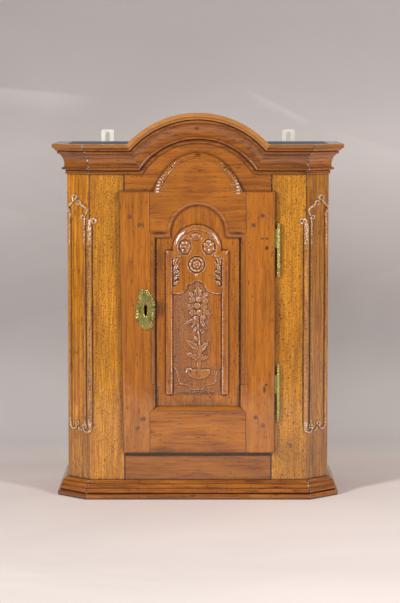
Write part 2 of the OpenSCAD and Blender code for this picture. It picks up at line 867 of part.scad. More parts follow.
// Nails through the frame's leaves, driven from the opening's edge
module hinge_nails_frame() {
    place() color(IRON) for (h = HINGES)
        translate([open_half + 0.5, board_t / 2, h[0] - knuckle_gap / 2 - knuckle_down / 2])
            rotate([0, 90, 0]) cylinder(r = nail_r, h = frame_nail);
}

module hinge_nail_holes_frame() {
    for (h = HINGES)
        translate([open_half - 1, board_t / 2, h[0] - knuckle_gap / 2 - knuckle_down / 2])
            rotate([0, 90, 0]) cylinder(r = nail_r + 0.1, h = frame_nail + 2);
}

// Door

// Front outline of the door: square below the shoulders, arched above
module door_outline() {
    polygon([
        [lock_edge_bottom, door_bottom], [hinge_edge, door_bottom],
        [hinge_edge, shoulder_z], [lock_edge_top, shoulder_z]
    ]);
    arch_outline(0);
}

// What a rounded edge takes off a corner: x points outward, y into the wood.
// A small step at each end keeps the round from running out tangent to the faces.
module round_waste(len, step = hair) {
    linear_extrude(height = len) translate([-step, step]) difference() {
        translate([-lip_round, -1]) square([lip_round + 1, lip_round + 1]);
        translate([-lip_round, lip_round]) circle(r = lip_round);
    }
}

// What the arch's moulded edge takes off: x is the radius, y the distance forward
module arch_edge_waste(radius) {
    ovolo = arch_edge_w - 4;
    bead = 1.75;
    step = lip_t - 2;
    difference() {
        translate([radius - arch_edge_w, step - ovolo]) square([arch_edge_w + 2, ovolo + 4]);
        translate([radius - ovolo, step - ovolo]) circle(r = ovolo);
        translate([radius - arch_edge_w, step - ovolo - 1])
            square([arch_edge_w - ovolo, ovolo + 1.3]);
        translate([radius - arch_edge_w + bead, step + 2 - bead]) circle(r = bead);
    }
}

module arch_edge() {
    start = 90 - crown_angle;
    intersection() {
        rotate([90, 0, 0]) {
            translate([0, crown_z, 0]) rotate([0, 0, start])
                rotate_extrude(angle = 2 * crown_angle, $fn = 120) arch_edge_waste(crown_r);
            for (side = [0, 1]) mirror([side, 0, 0])
                translate([-haunch_dx, haunch_z, 0]) rotate([0, 0, 10])
                    rotate_extrude(angle = start - 10, $fn = 180) arch_edge_waste(haunch_r);
        }
        translate([-2 * crown_r, front_y - 5, shoulder_z]) cube([4 * crown_r, lip_t + 4, 2 * crown_r]);
    }
}

module door_edges() {
    tall = shoulder_z - door_bottom;
    foot = -haunch_dx + sqrt(pow(haunch_r, 2) - pow(shoulder_z - haunch_z, 2));
    translate([hinge_edge, front_y, door_bottom - 1]) round_waste(tall + 2);
    translate([lock_edge_bottom, front_y, door_bottom]) rotate([0, -lean, 0]) mirror([1, 0, 0])
        translate([0, 0, -2]) round_waste(tall + 5, 4 * hair);
    translate([lock_edge_top - 5, front_y, door_bottom]) rotate([0, 90, 0])
        round_waste(hinge_edge - lock_edge_top + 10);
    for (side = [-1, 1]) right_or_left(side)
        translate([-foot, front_y, shoulder_z]) rotate([0, -90, 0]) round_waste(open_half);
    arch_edge();
}

// Sight opening of the panel, or the groove around it, moved outward by grow
module sight_outline(grow) {
    translate([-sight_half - grow, sight_low - grow])
        square([2 * (sight_half + grow), sight_high - sight_low + 2 * grow]);
    translate([-sight_arch_r - grow, sight_high]) square([2 * (sight_arch_r + grow), sight_leg]);
    translate([0, sight_arch_z]) circle(r = sight_arch_r + grow);
}

// What the moulding along the sight opening takes off: x into the wood, y the distance forward
module stick_waste() {
    step = 0.8;
    r = min(stick_w, panel_sink - step) - 1;
    difference() {
        translate([-1, lip_t - step - r]) square([stick_w + 1, r + 3]);
        translate([r, lip_t - step - r]) circle(r = r);
    }
}

// One straight run of that moulding, from point a to point b with the wood on the left,
// and the run's outer points, which lie on the mitres
module stick_run(a, b, a_out, b_out) {
    angle = atan2(b[1] - a[1], b[0] - a[0]);
    inward = [sin(angle) * 2, -cos(angle) * 2];
    intersection() {
        translate([a[0], 0, a[1]]) rotate([0, -angle, 0]) translate([opening_w, 0, 0])
            rotate([90, 0, -90]) linear_extrude(height = 2 * opening_w) rotate(90) mirror([0, 1])
            stick_waste();
        board(front_y - 5, 0) polygon([a + inward, b + inward, b, b_out, a_out, a]);
    }
}

module sight_beads() {
    g = stick_w;
    corners = [[sight_half, sight_low], [sight_half, sight_high], [sight_arch_r, sight_high],
        [sight_arch_r, sight_arch_z]];
    outer = [[sight_half + g, sight_low - g], [sight_half + g, sight_high + g],
        [sight_arch_r + g, sight_high + g], [sight_arch_r + g, sight_arch_z]];
    for (side = [-1, 1]) right_or_left(side) {
        for (i = [0:2]) stick_run(corners[i + 1], corners[i], outer[i + 1], outer[i]);
    }
    stick_run(corners[0], [-sight_half, sight_low], outer[0], [-sight_half - g, sight_low - g]);
    translate([0, 0, sight_arch_z]) rotate([90, 0, 0])
        rotate_extrude(angle = 180) translate([sight_arch_r, 0]) stick_waste();
}

// The whole door frame in one piece, before it is cut into stiles and rails
module door_blank() {
    board(front_y, lip_back) door_outline();
    board(lip_back - eps, door_back) opening_outline(door_clear);
}

module stile_region(side) {
    right_or_left(side) polygon([
        [rail_half, door_bottom - 1], [rail_half, sight_low - seam_step], [sight_half, sight_low],
        [sight_half, sight_high], [rail_half, sight_high + seam_step], [rail_half, shoulder_z + 1],
        [half_w, shoulder_z + 1], [half_w, door_bottom - 1]
    ]);
}

module tenon(z, grow) {
    translate([rail_half - 1, margin_y - grow, z[0] - grow])
        cube([door_tenon + 1 + (grow > 0 ? 2 : 0), panel_t + 2 * grow, z[1] - z[0] + 2 * grow]);
}

module peg_holes() {
    for (p = PEGS) translate([p[0] * (rail_half + p[1]), front_y - 1, p[2]]) rotate([-90, 0, 0])
        cylinder(d = peg_d + 0.1, h = lip_t + rebate_t + 2);
}

module keyhole_outline(grow) {
    translate([0, post_z]) circle(r = keyhole_r + grow);
    translate([-keyhole_slot / 2 - grow, key_z - keyhole_h / 2 - grow])
        square([keyhole_slot + 2 * grow, keyhole_h - keyhole_r]);
}

module keyhole(from, to, grow) {
    translate([key_x, 0, 0]) board(from, to) keyhole_outline(grow);
}

module door_stile(side) {
    place() color(WALNUT_DOOR) difference() {
        intersection() {
            door_blank();
            board(front_y - 1, door_back + 1) stile_region(side);
        }
        door_edges();
        sight_beads();
        board(margin_y - fit, panel_back + fit) sight_outline(tongue + fit);
        for (z = [tenon_low, tenon_high]) right_or_left(side) tenon(z, fit);
        peg_holes();
        if (side > 0) {
            for (h = HINGES) door_leaf_slot(h);
            hinge_nail_holes_door();
        } else {
            keyhole(front_y - 1, door_back + 1, 0);
            lock_screw_holes(door_back - 6, door_back + 1);
            escutcheon_pin_holes();
        }
    }
}

module door_rail_top() {
    place() color(WALNUT_DOOR) difference() {
        union() {
            difference() {
                intersection() {
                    door_blank();
                    board(front_y - 1, door_back + 1) difference() {
                        translate([-rail_half, sight_high - 1])
                            square([2 * rail_half, shoulder_z + arch_rise]);
                        for (side = [-1, 1]) stile_region(side);
                        sight_outline(0);
                    }
                }
                door_edges();
                sight_beads();
                board(margin_y - fit, panel_back + fit) sight_outline(tongue + fit);
            }
            for (side = [-1, 1]) right_or_left(side) tenon(tenon_high, 0);
        }
        peg_holes();
    }
}

module door_rail_bottom() {
    place() color(WALNUT_DOOR) difference() {
        union() {
            difference() {
                intersection() {
                    door_blank();
                    board(front_y - 1, door_back + 1) difference() {
                        translate([-rail_half, door_bottom - 1])
                            square([2 * rail_half, sight_low - door_bottom + 1]);
                        for (side = [-1, 1]) stile_region(side);
                    }
                }
                door_edges();
                sight_beads();
                board(margin_y - fit, panel_back + fit) sight_outline(tongue + fit);
            }
            for (side = [-1, 1]) right_or_left(side) tenon(tenon_low, 0);
        }
        peg_holes();
    }
}

// Outline of the raised field, moved inward by inset at its sides and head
module field_outline(inset) {
    head = field_arch_r - inset;
    translate([-field_shift, 0]) {
        translate([inset - field_half, field_low])
            square([2 * (field_half - inset), field_high - field_low - inset]);
        translate([-head, field_high - inset - 1]) square([2 * head, field_leg + inset + 1]);
        translate([0, field_high + field_leg]) circle(r = head, $fn = 180);
    }
}

// Section of the border's roll: x inward from the field's edge, y the height over the margin
module roll_section() {
    r = (field_roll * field_roll + field_rise * field_rise) / (2 * field_rise);
    intersection() {
        translate([field_roll, field_rise - r]) circle(r = r, $fn = 180);
        translate([0, -1]) square([field_roll, field_rise + 1]);
    }
}

// The roll along one side, over one shoulder and round half of the head
module field_border() {
    head_z = field_high + field_leg;
    for (side = [-1, 1]) translate([-field_shift, margin_y, 0]) right_or_left(side) {
        intersection() {
            translate([field_half, 0, field_low]) linear_extrude(height = field_high - field_low)
                rotate(180) roll_section();
            board(-lip_t, 2) polygon([
                [field_half, field_low], [field_half, field_high],
                [field_half - field_roll, field_high - field_roll], [field_half - field_roll, field_low]
            ]);
        }
        intersection() {
            translate([field_half, 0, field_high]) rotate([0, -90, 0])
                linear_extrude(height = field_half - field_arch_r + field_roll) rotate(180) roll_section();
            board(-lip_t, 2) polygon([
                [field_half, field_high], [0, field_high], [0, field_high - field_roll],
                [field_half - field_roll, field_high - field_roll]
            ]);
        }
        translate([field_arch_r, 0, field_high - field_roll])
            linear_extrude(height = field_roll + field_leg) rotate(180) roll_section();
        translate([0, 0, head_z]) rotate([90, 0, 0]) rotate_extrude(angle = 90)
            translate([field_arch_r, 0]) mirror([1, 0]) roll_section();
    }
}

// Smooth bracket-shaped part at the field's foot, between two sunk corners
module bracket_outline() {
    lobe_r = 9;
    lobe_x = field_half - field_roll - 16;
    lobe_z = 3 * lobe_r;
    top = lobe_z + 14;
    translate([-field_shift, field_low]) {
        difference() {
            translate([-field_half, top]) square([2 * field_half, field_high - field_low]);
            for (x = [-1, 1]) translate([x * (lobe_x + 19), top - 2]) circle(r = 12);
        }
        for (x = [-1, 1]) translate([x * lobe_x, lobe_z]) circle(r = lobe_r);
        translate([-lobe_x, lobe_z - lobe_r + 0.5]) square([2 * lobe_x, top - lobe_z + lobe_r]);
        translate([-lobe_x - 7.5, lobe_z]) square([2 * lobe_x + 15, top - lobe_z + 1]);
        translate([0, lobe_z - 5]) circle(r = 15);
    }
}

// Smooth upper part of the field, cut in an arch over the flowers and in leaves along its sides
module hood_outline() {
    hood_h = 80;
    edge = field_half - field_roll;
    translate([-field_shift, field_high]) difference() {
        translate([-field_half, -hood_h]) square([2 * field_half, hood_h + field_leg + field_arch_r]);
        translate([1, -hood_h + 7]) circle(r = 17);
        translate([-19, -hood_h - 1]) square([38, 7]);
        for (x = [-1, 1], i = [1:5]) translate([x * (edge - 3), -i * 12]) circle(r = 6.8);
        for (x = [-1, 1]) translate([x * oval_x, oval_z]) upright_oval(12, 15);
    }
}

// A leaf drawn from the point at its foot to its tip
module leaf(foot, tip, width) {
    run = tip - foot;
    translate(foot + run / 2) rotate(atan2(run[1], run[0]) - 90) upright_oval(width / 2, norm(run) / 2);
}

// Flowers and leaves on their stem, over a bowl
module bunch() {
    stem_low = 50;
    stem_h = 90;
    bloom_r = 5.8;
    tall = stem_low + stem_h;
    translate([2 - field_shift, 0, field_low]) {
        board(ground_y - relief, ground_y + 1) {
            translate([-2, stem_low - 4]) square([4, stem_h + 4]);
            for (i = [0:4], x = [-1, 1])
                leaf([0, stem_low + 18 * i], [x * (24 - 3 * i), stem_low + 18 * (i + 1)], 11 - i);
            for (x = [-1, 0, 1])
                leaf([x * 6, tall + 30], [x * 16, tall + 54 - 8 * abs(x)], 12 - 3 * abs(x));
            intersection() {
                translate([0, stem_low]) circle(r = 23);
                translate([-25, stem_low - 25]) square([50, 20]);
            }
        }
        for (row = [0:3], x = [-1, 0, 1])
            translate([x * (11 + 1.5 * row), ground_y + bloom_r * 0.5, tall + 2 + 11 * row - 3 * abs(x)])
                ball(bloom_r);
    }
}

// Rosette, shell and the flowers of the two ovals, in the field's head
module head_carving() {
    petal_r = 3.2;
    rise = 0.6;
    translate([-field_shift, field_top_y, field_high]) rotate([90, 0, 0]) {
        translate([0, -26, -1]) {
            difference() {
                cylinder(r = rosette_r - 1, h = 1 + rise);
                translate([0, 0, -1]) cylinder(r = rosette_r * 0.6, h = 4);
            }
            cylinder(r = rosette_r * 0.5, h = 1 + rise);
        }
        for (x = [-1, 0, 1])
            translate([5 * x - 1, 25 - abs(x), rise - petal_r]) ball(petal_r);
        for (x = [-1, 1], turn = [0:60:300]) translate([x * oval_x, oval_z, rise - relief - petal_r])
            rotate([0, 0, turn]) translate([4.2, 0, 0]) ball(petal_r);
    }
}

module door_panel() {
    place() color(WALNUT_DOOR) {
        board(margin_y, panel_back) sight_outline(tongue);
        difference() {
            union() {
                field_border();
                board(ground_y, margin_y + eps) field_outline(field_roll - eps);
                board(field_top_y, ground_y + eps) intersection() {
                    field_outline(field_roll - eps);
                    hood_outline();
                }
            }
            board(ground_y - lip_t, field_top_y + field_quirk) difference() {
                field_outline(field_roll - field_quirk / 2);
                field_outline(field_roll + field_quirk / 2);
            }
            board(ground_y - lip_t, ground_y + relief) difference() {
                field_outline(field_roll);
                bracket_outline();
            }
        }
        head_carving();
        bunch();
    }
}

module door_pegs() {
    place() color(WALNUT_DARK) for (p = PEGS)
        translate([p[0] * (rail_half + p[1]), front_y - 0.4, p[2]]) rotate([-90, 0, 0])
            cylinder(d = peg_d, h = lip_t + rebate_t + 0.4);
}

// Lock, screwed to the back of the lock stile

module lock_at() {
    translate([lock_edge, door_back, lock_z0]) children();
}

// Walls stand on the cover side, and the bolt leaves through the edge plate
module lock_case() {
    wall = sheet_t;
    place() color(IRON) difference() {
        lock_at() difference() {
            cube([lock_w, lock_d, lock_h]);
            translate([wall, wall, case_rim]) cube([lock_w - 2 * wall, lock_d, lock_h - 2 * case_rim]);
        }
        bolt_space(lock_edge - 1, 4);
        keyhole(door_back - 1, door_back + wall + 1, 0.2);
        lock_screw_holes(door_back - 1, door_back + lock_d + 1);
        translate([key_x, door_back - 1, post_z]) rotate([-90, 0, 0])
            cylinder(r = post_r + 0.02, h = sheet_t + 2);
    }
}

module bolt_space(x, len) {
    c = bolt_clear;
    translate([x, bolt_y - bolt_t / 2 - c, bolt_z - bolt_h / 2 - c])
        cube([len, bolt_t + 2 * c, bolt_h + 2 * c]);
}

module lock_cover() {
    place() color(IRON) difference() {
        lock_at() translate([0, lock_d, 0]) cube([lock_w, sheet_t, lock_h]);
        lock_screw_holes(door_back + lock_d - 1, door_back + lock_d + sheet_t + 1);
        translate([key_x, door_back + lock_d - 1, post_z]) rotate([-90, 0, 0])
            cylinder(r = keyhole_r, h = sheet_t + 2);
    }
}

// The post stands on the cover and points at the keyhole
module lock_key_post() {
    place() color(STEEL) translate([key_x, 0, post_z]) rotate([-90, 0, 0]) {
        translate([0, 0, door_back - 12]) cylinder(r = post_r, h = 12 + lock_d + sheet_t);
        translate([0, 0, door_back + lock_d]) cylinder(r = keyhole_r - 0.05, h = sheet_t);
    }
}

module lock_bolt() {
    head = 20;
    x0 = lock_edge + 0.4;
    place() color(IRON) {
        translate([x0, bolt_y - bolt_t / 2, bolt_z - bolt_h / 2]) cube([head, bolt_t, bolt_h]);
        difference() {
            translate([x0 + head - 1, bolt_y - bolt_t / 2, bolt_z - bolt_h / 2])
                cube([bolt_tail - head + 1, bolt_t, bolt_h / 2]);
            // Notch where the key's bit moves the bolt
            translate([key_x - 5, bolt_y - bolt_t, bolt_z - 4]) cube([10, 2 * bolt_t, bolt_h]);
        }
    }
}

// Flat spring between the case's upper wall and the bolt's tail
module lock_spring() {
    strip_t = 1.2;
    seat = lock_z0 + lock_h - case_rim - bolt_clear;
    tip = bolt_z + bolt_clear;
    place() color(IRON) translate([lock_edge + 26, bolt_y - 2, 0]) {
        translate([-14, 0, seat - strip_t]) cube([14, 4, strip_t]);
        translate([-strip_t, 0, tip]) cube([strip_t, 4, seat - tip]);
    }
}

module lock_screw_holes(from, to) {
    for (s = lock_screw_spots)
        translate([lock_edge + s[0], from, lock_z0 + s[1]]) rotate([-90, 0, 0])
            cylinder(r = 1.35, h = to - from);
}

module lock_screws() {
    place() color(IRON) for (s = lock_screw_spots)
        translate([lock_edge + s[0], door_back - 5, lock_z0 + s[1]]) rotate([-90, 0, 0]) {
            cylinder(r = 1.3, h = 5 + lock_d + sheet_t);
            translate([0, 0, 5 + lock_d + sheet_t]) cylinder(r = 2.6, h = 1);
        }
}

module strike_recess() {
    translate([-open_half - strike_t, bolt_y - bolt_t / 2 - 3, bolt_z - strike_h / 2 - fit])
        cube([strike_t + 1, bolt_t + 6, strike_h + 2 * fit]);
    strike_nail_holes();
}

module bolt_mortise() {
    bolt_space(-open_half - bolt_throw - 2, bolt_throw + 3);
}

module strike_nail_holes() {
    for (side = [-1, 1])
        translate([-open_half - 9, bolt_y, bolt_z + side * (strike_h / 2 - 5)]) rotate([0, 90, 0])
            cylinder(r = 1.05, h = 12);
}

module strike_plate() {
    place() color(IRON) difference() {
        translate([-open_half - strike_t, bolt_y - bolt_t / 2 - 3 + fit, bolt_z - strike_h / 2])
            cube([strike_t, bolt_t + 6 - 2 * fit, strike_h]);
        bolt_space(-open_half - strike_t - 1, strike_t + 2);
        strike_nail_holes();
    }
}

module strike_nails() {
    place() color(IRON) for (side = [-1, 1])
        translate([-open_half - 8, bolt_y, bolt_z + side * (strike_h / 2 - 5)]) rotate([0, 90, 0])
            cylinder(r = 1, h = 8);
}

// Escutcheon: a lobed cartouche, a little out of true, with a scalloped edge

module escutcheon_outline() {
    w = plate_w / 2;
    h = plate_h / 2;
    translate([-0.5, -3]) upright_oval(w * 0.94, h * 0.78);
    translate([-4.5, h - 9]) circle(r = 9);
    translate([-9, h * 0.4]) square([15, h * 0.5]);
    translate([2.5, 10.5 - h]) circle(r = 10.5);
    translate([9.5, 9 - h]) circle(r = 5.5);
    for (i = [0:4]) {
        translate([-w + 5 + pow(i - 1.8, 2) * 0.8, -h * 0.5 + i * h * 0.24]) circle(r = 5);
        translate([w - 6.5 - pow(i - 2.4, 2) * 0.8, -h * 0.45 + i * h * 0.25]) circle(r = 5);
    }
}

// An upright oval of half width a and half height b, from two large circles
module upright_oval(a, b) {
    r = (a * a + b * b) / (2 * a);
    intersection() {
        translate([r - a, 0]) circle(r = r);
        translate([a - r, 0]) circle(r = r);
    }
}

module escutcheon() {
    place() color(BRASS) difference() {
        translate([key_x, 0, key_z]) board(front_y - plate_t, front_y) escutcheon_outline();
        keyhole(front_y - plate_t - 1, front_y + 1, 0);
        escutcheon_pin_holes();
    }
}

module escutcheon_pin_holes() {
    for (s = escutcheon_pin_spots)
        translate([key_x + s[0], front_y - plate_t - 1, key_z + s[1]]) rotate([-90, 0, 0])
            cylinder(r = 0.85, h = 8 + plate_t + 1);
}

module escutcheon_pins() {
    place() color(BRASS) for (s = escutcheon_pin_spots)
        translate([key_x + s[0], front_y - plate_t, key_z + s[1]]) rotate([-90, 0, 0]) {
            cylinder(r = 0.8, h = 7 + plate_t);
            translate([0, 0, -0.8]) cylinder(r = 1.8, h = 0.8);
        }
}

bottom_board();
top_board();
side_board(-1);  // side_left
side_board(1);  // side_right
corner_post(-1);  // corner_post_left
corner_post(1);  // corner_post_right
corner_bead(-1);  // corner_bead_left
corner_bead(1);  // corner_bead_right
frame_stile(-1);  // frame_stile_left
frame_stile(1);  // frame_stile_right
frame_rail_bottom();
frame_rail_top();
back_board(0);  // back_board_left
back_board(1);  // back_board_middle
back_board(2);  // back_board_right
shelf();
base_front();
base_cant(-1);  // base_cant_left
base_cant(1);  // base_cant_right
base_side(-1);  // base_side_left
base_side(1);  // base_side_right
cornice_arch();
cornice_front(-1);  // cornice_front_left
cornice_front(1);  // cornice_front_right
cornice_cant(-1);  // cornice_cant_left
cornice_cant(1);  // cornice_cant_right
cornice_side(-1);  // cornice_side_left
cornice_side(1);  // cornice_side_right
wall_hanger(-1);  // wall_hanger_left
wall_hanger(1);  // wall_hanger_right
hanger_screws();
frame_leaf(HINGES[0]);  // hinge_leaf_frame_upper
frame_leaf(HINGES[1]);  // hinge_leaf_frame_lower
hinge_pins();
hinge_nails_frame();
strike_plate();
strike_nails();
door_stile(-1);  // door_stile_lock
door_stile(1);  // door_stile_hinge
door_rail_top();
door_rail_bottom();
door_panel();
door_pegs();
door_leaf(HINGES[0]);  // hinge_leaf_door_upper
door_leaf(HINGES[1]);  // hinge_leaf_door_lower
hinge_nails_door();
escutcheon();
escutcheon_pins();
lock_case();
lock_cover();
lock_key_post();
lock_spring();
lock_screws();
lock_bolt();
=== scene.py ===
import math
from functools import reduce

import bpy
import numpy as np
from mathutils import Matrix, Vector


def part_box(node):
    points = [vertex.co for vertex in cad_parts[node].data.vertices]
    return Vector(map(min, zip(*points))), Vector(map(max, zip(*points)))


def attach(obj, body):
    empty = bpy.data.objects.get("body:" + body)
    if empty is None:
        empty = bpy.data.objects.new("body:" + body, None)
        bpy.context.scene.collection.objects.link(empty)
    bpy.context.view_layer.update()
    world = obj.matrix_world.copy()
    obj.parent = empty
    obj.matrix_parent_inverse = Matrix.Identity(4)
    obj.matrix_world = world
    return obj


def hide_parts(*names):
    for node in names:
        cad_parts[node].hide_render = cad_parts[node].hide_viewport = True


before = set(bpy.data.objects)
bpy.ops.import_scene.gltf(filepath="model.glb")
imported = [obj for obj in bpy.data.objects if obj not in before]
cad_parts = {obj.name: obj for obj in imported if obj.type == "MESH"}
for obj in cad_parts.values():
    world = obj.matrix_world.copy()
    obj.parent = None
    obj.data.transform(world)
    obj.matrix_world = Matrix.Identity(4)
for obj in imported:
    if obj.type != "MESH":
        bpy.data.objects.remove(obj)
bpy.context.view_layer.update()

# Wall cabinet of walnut with canted corners, an arched cornice and one carved door.
# Sizes are in millimetres and become metres where a mesh, lamp or camera is made.

MM = 0.001
VARNISH_ROUGHNESS = 0.11
VARNISH_IOR = 1.75


def corners(node):
    """Lowest and highest corner of a CAD node, in millimetres."""
    low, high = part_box(node)
    return np.array(low) / MM, np.array(high) / MM


def middle(node):
    """Middle of a CAD node's box, in millimetres."""
    low, high = corners(node)
    return (low + high) / 2


def srgb(red, green, blue):
    """The linear colour of one that a screen shows with 0 to 255."""
    values = []
    for channel in (red, green, blue):
        c = channel / 255
        values.append(c / 12.92 if c <= 0.04045 else ((c + 0.055) / 1.055) ** 2.4)
    return (*values, 1.0)


# Shader helpers

class Shader:
    """A node material built by short calls, each of which returns an output socket."""

    def __init__(self, name):
        self.material = bpy.data.materials.new(name)
        self.material.use_nodes = True
        self.tree = self.material.node_tree
        self.tree.nodes.clear()

    def feed(self, socket, value):
        if isinstance(value, bpy.types.NodeSocket):
            self.tree.links.new(value, socket)
        else:
            socket.default_value = value

    def node(self, kind, *values, named=(), **settings):
        """A node with its settings, its first inputs in order and others by name."""
        made = self.tree.nodes.new("ShaderNode" + kind)
        for key, value in settings.items():
            setattr(made, key, value)
        for socket, value in zip(made.inputs, values):
            self.feed(socket, value)
        for key, value in dict(named).items():
            self.feed(made.inputs[key], value)
        return made

    def math(self, operation, a, b=0.0, clamp=False):
        return self.node("Math", a, b, operation=operation, use_clamp=clamp).outputs[0]

    def times(self, *values):
        return reduce(lambda a, b: self.math("MULTIPLY", a, b), values)

    def plus(self, *values):
        return reduce(lambda a, b: self.math("ADD", a, b), values)

    def minus(self, a, b):
        return self.math("SUBTRACT", a, b)

    def most(self, a, b):
        return self.math("MAXIMUM", a, b)

    def length(self, x, y):
        return self.math("SQRT", self.plus(self.times(x, x), self.times(y, y)))

    def vector(self, operation, a, b):
        made = self.node("VectorMath", a, b, operation=operation)
        return made.outputs["Value" if operation == "DOT_PRODUCT" else "Vector"]

    def scaled(self, at, *factors):
        """A vector times one factor, or times one factor for each axis."""
        return self.vector("MULTIPLY", at, factors * 3 if len(factors) == 1 else factors)

    def combine(self, x, y, z):
        return self.node("CombineXYZ", x, y, z).outputs[0]

    def split(self, at):
        """The x, y and z of a vector."""
        return tuple(self.node("SeparateXYZ", at).outputs)

    def place(self, centre=(0, 0, 0)):
        """Millimetres from a centre, in the piece's own space."""
        at = self.node("TexCoord").outputs["Object"]
        return self.vector("SUBTRACT", self.scaled(at, 1 / MM), tuple(centre))

    def noise(self, at, detail=2.0, roughness=0.5, distortion=0.0):
        named = {"Vector": at, "Scale": 1.0, "Detail": detail, "Roughness": roughness,
                 "Distortion": distortion}
        return self.node("TexNoise", named=named).outputs["Fac"]

    def stretched(self, grain, run, cross, detail=2.0, roughness=0.5):
        """Noise with features run millimetres long and cross millimetres wide."""
        return self.noise(self.scaled(grain, 1 / run, 1 / cross, 1 / cross), detail, roughness)

    def cells(self, at):
        """Distance to the nearest cell's point, and a random value of that cell."""
        made = self.node("TexVoronoi", named={"Vector": at, "Scale": 1.0})
        split = self.node("SeparateColor", made.outputs["Color"])
        return made.outputs["Distance"], split.outputs[0]

    def span(self, value, low, high, to_low=0.0, to_high=1.0):
        """value mapped smoothly from low..high to to_low..to_high, and held beyond them."""
        values = (value, low, high, to_low, to_high)
        return self.node("MapRange", *values, interpolation_type="SMOOTHSTEP").outputs[0]

    def between(self, value, low, high, soft):
        """1 from low to high and 0 beyond both, with soft flanks inside."""
        return self.times(self.span(value, low, low + soft), self.span(value, high, high - soft))

    def mix(self, factor, a, b, blend="MIX"):
        named = {"Factor": factor, "A": a, "B": b}
        return self.node("Mix", named=named, data_type="RGBA", blend_type=blend).outputs["Result"]

    def shaded(self, colour, shade):
        return self.mix(1.0, colour, self.combine(shade, shade, shade), "MULTIPLY")

    def ramp(self, value, light, mean, dark):
        """The light colour at 0, the mean one at 0.5 and the dark one at 1."""
        made = self.node("ValToRGB", value)
        stops = made.color_ramp.elements
        stops[0].color, stops[1].color = light, dark
        stops.new(0.5).color = mean
        return made.outputs[0]

    def bump(self, height, depth, normal=None):
        """Bump from a height of 0 to 1 that stands for depth in millimetres."""
        named = {"Strength": 1.0, "Distance": depth * MM, "Height": height}
        if normal is not None:
            named["Normal"] = normal
        return self.node("Bump", named=named).outputs[0]

    def soft_edges(self, radius):
        """Normal with edges rounded by a radius in millimetres."""
        return self.node("Bevel", samples=4, named={"Radius": radius * MM}).outputs[0]

    def edge_wear(self, normal):
        """1 on an edge and 0 on a flat, from how far the rounded normal turns."""
        true_normal = self.node("NewGeometry").outputs["Normal"]
        return self.span(self.vector("DOT_PRODUCT", normal, true_normal), 0.995, 0.8)

    def hollows(self, reach):
        """1 deep in a corner and 0 in the open, within a reach in millimetres."""
        made = self.node("AmbientOcclusion", samples=6, named={"Distance": reach * MM})
        return self.span(made.outputs["AO"], 0.88, 0.4)

    def stored(self, name):
        """A value that the piece's points carry."""
        return self.node("Attribute", attribute_name=name).outputs["Fac"]

    def finish(self, colour, roughness, normal, metallic=0.0, coat=0.0, coat_normal=None, specular=0.5):
        named = {"Base Color": colour, "Roughness": roughness, "Normal": normal, "Metallic": metallic,
                 "Coat Weight": coat, "Coat Roughness": VARNISH_ROUGHNESS, "Coat IOR": VARNISH_IOR,
                 "Specular IOR Level": specular}
        if coat_normal is not None:
            named["Coat Normal"] = coat_normal
        surface = self.node("BsdfPrincipled", named=named)
        self.node("OutputMaterial", surface.outputs[0])
        return self.material


# Wood

# Axes of the grain: the cabinet's own, and those across its canted corners
X, Y, Z = (1.0, 0.0, 0.0), (0.0, 1.0, 0.0), (0.0, 0.0, 1.0)
SLANT = math.sqrt(0.5)
CANT_LEFT, CANT_RIGHT = (SLANT, -SLANT, 0.0), (SLANT, SLANT, 0.0)

# Front corner of the case, and half the width of its opening
STILE_LOW, STILE_HIGH = corners("frame_stile_right")
CORNER_X, CORNER_Y, OPENING_HALF = STILE_HIGH[0], STILE_LOW[1], STILE_LOW[0]

# Dark lines of the joints, and lines of painted shade along quirks, the sight edge and under the door,
# for x counted from the middle to either side: a plane's normal and distance, the heights between which it
# shows, and the line's half width
FOOT_Z, CROWN_Z = 0, 720
MITRE_X, MITRE_Y = math.cos(math.radians(22.5)), math.sin(math.radians(22.5))
MITRE = ((MITRE_X, MITRE_Y, 0.0), MITRE_X * CORNER_X + MITRE_Y * CORNER_Y, FOOT_Z, CROWN_Z, 1.0)
STILE_EDGE = (X, OPENING_HALF, FOOT_Z, CROWN_Z, 1.4)
RAIL_END = (X, 89.0, FOOT_Z, CROWN_Z, 1.2)
DOOR_SHADOW = (Z, 82.0, FOOT_Z, CROWN_Z, 3.2)
FRONT_EDGE = (X, CORNER_X, 510, 620, 1.6)
# Painted shade along the quirk beside the front roll
FRONT_QUIRK = (X, CORNER_X - 6.2, 136, 506, 0.9)
# Painted shade along the panel's edge in the sight opening
SIGHT_EDGE = (X, 77.4, 165, 495, 2.0)
CANT_EDGE = SLANT * (CORNER_X + CORNER_Y)
# Painted shade along the quirks beside the rolls on the cant
CANT_QUIRKS = [((SLANT, SLANT, 0.0), CANT_EDGE + u, 139, 522, 0.7) for u in (7.6, 15.4, 47.8)]
# Painted shade in the grooves between the reeds of the base
REEDS = [(Z, height, FOOT_Z, CROWN_Z, 0.9) for height in (28.5, 20.5, 12.0)]

# What a wood has unless its kind or its piece says otherwise
WOOD = dict(
    # Spacing of the rings, place and slope of their pith
    ring=9, pith=(18.0, 60.0), slope=0.03,
    # Weights in the figure
    rings=0.16, streaks=0.3, fibres=0.45,
    # Flecks: share of cells that have one, length, width, strength and share of large ones
    flecks=0.1, fleck_len=9, fleck_w=1.8, bold=0.72, large=0.35,
    # Roughness, worn edges with painted sheen, varnish, painted highlight on crests and painted glints in the
    # joints
    rough=0.4, edge_wear_and_sheen=0.3, coat=1.0, waxed=0.3, joint_glints=0.08,
    seams=(), grooves=(), stains=(), gouges=None, pale_band=None)

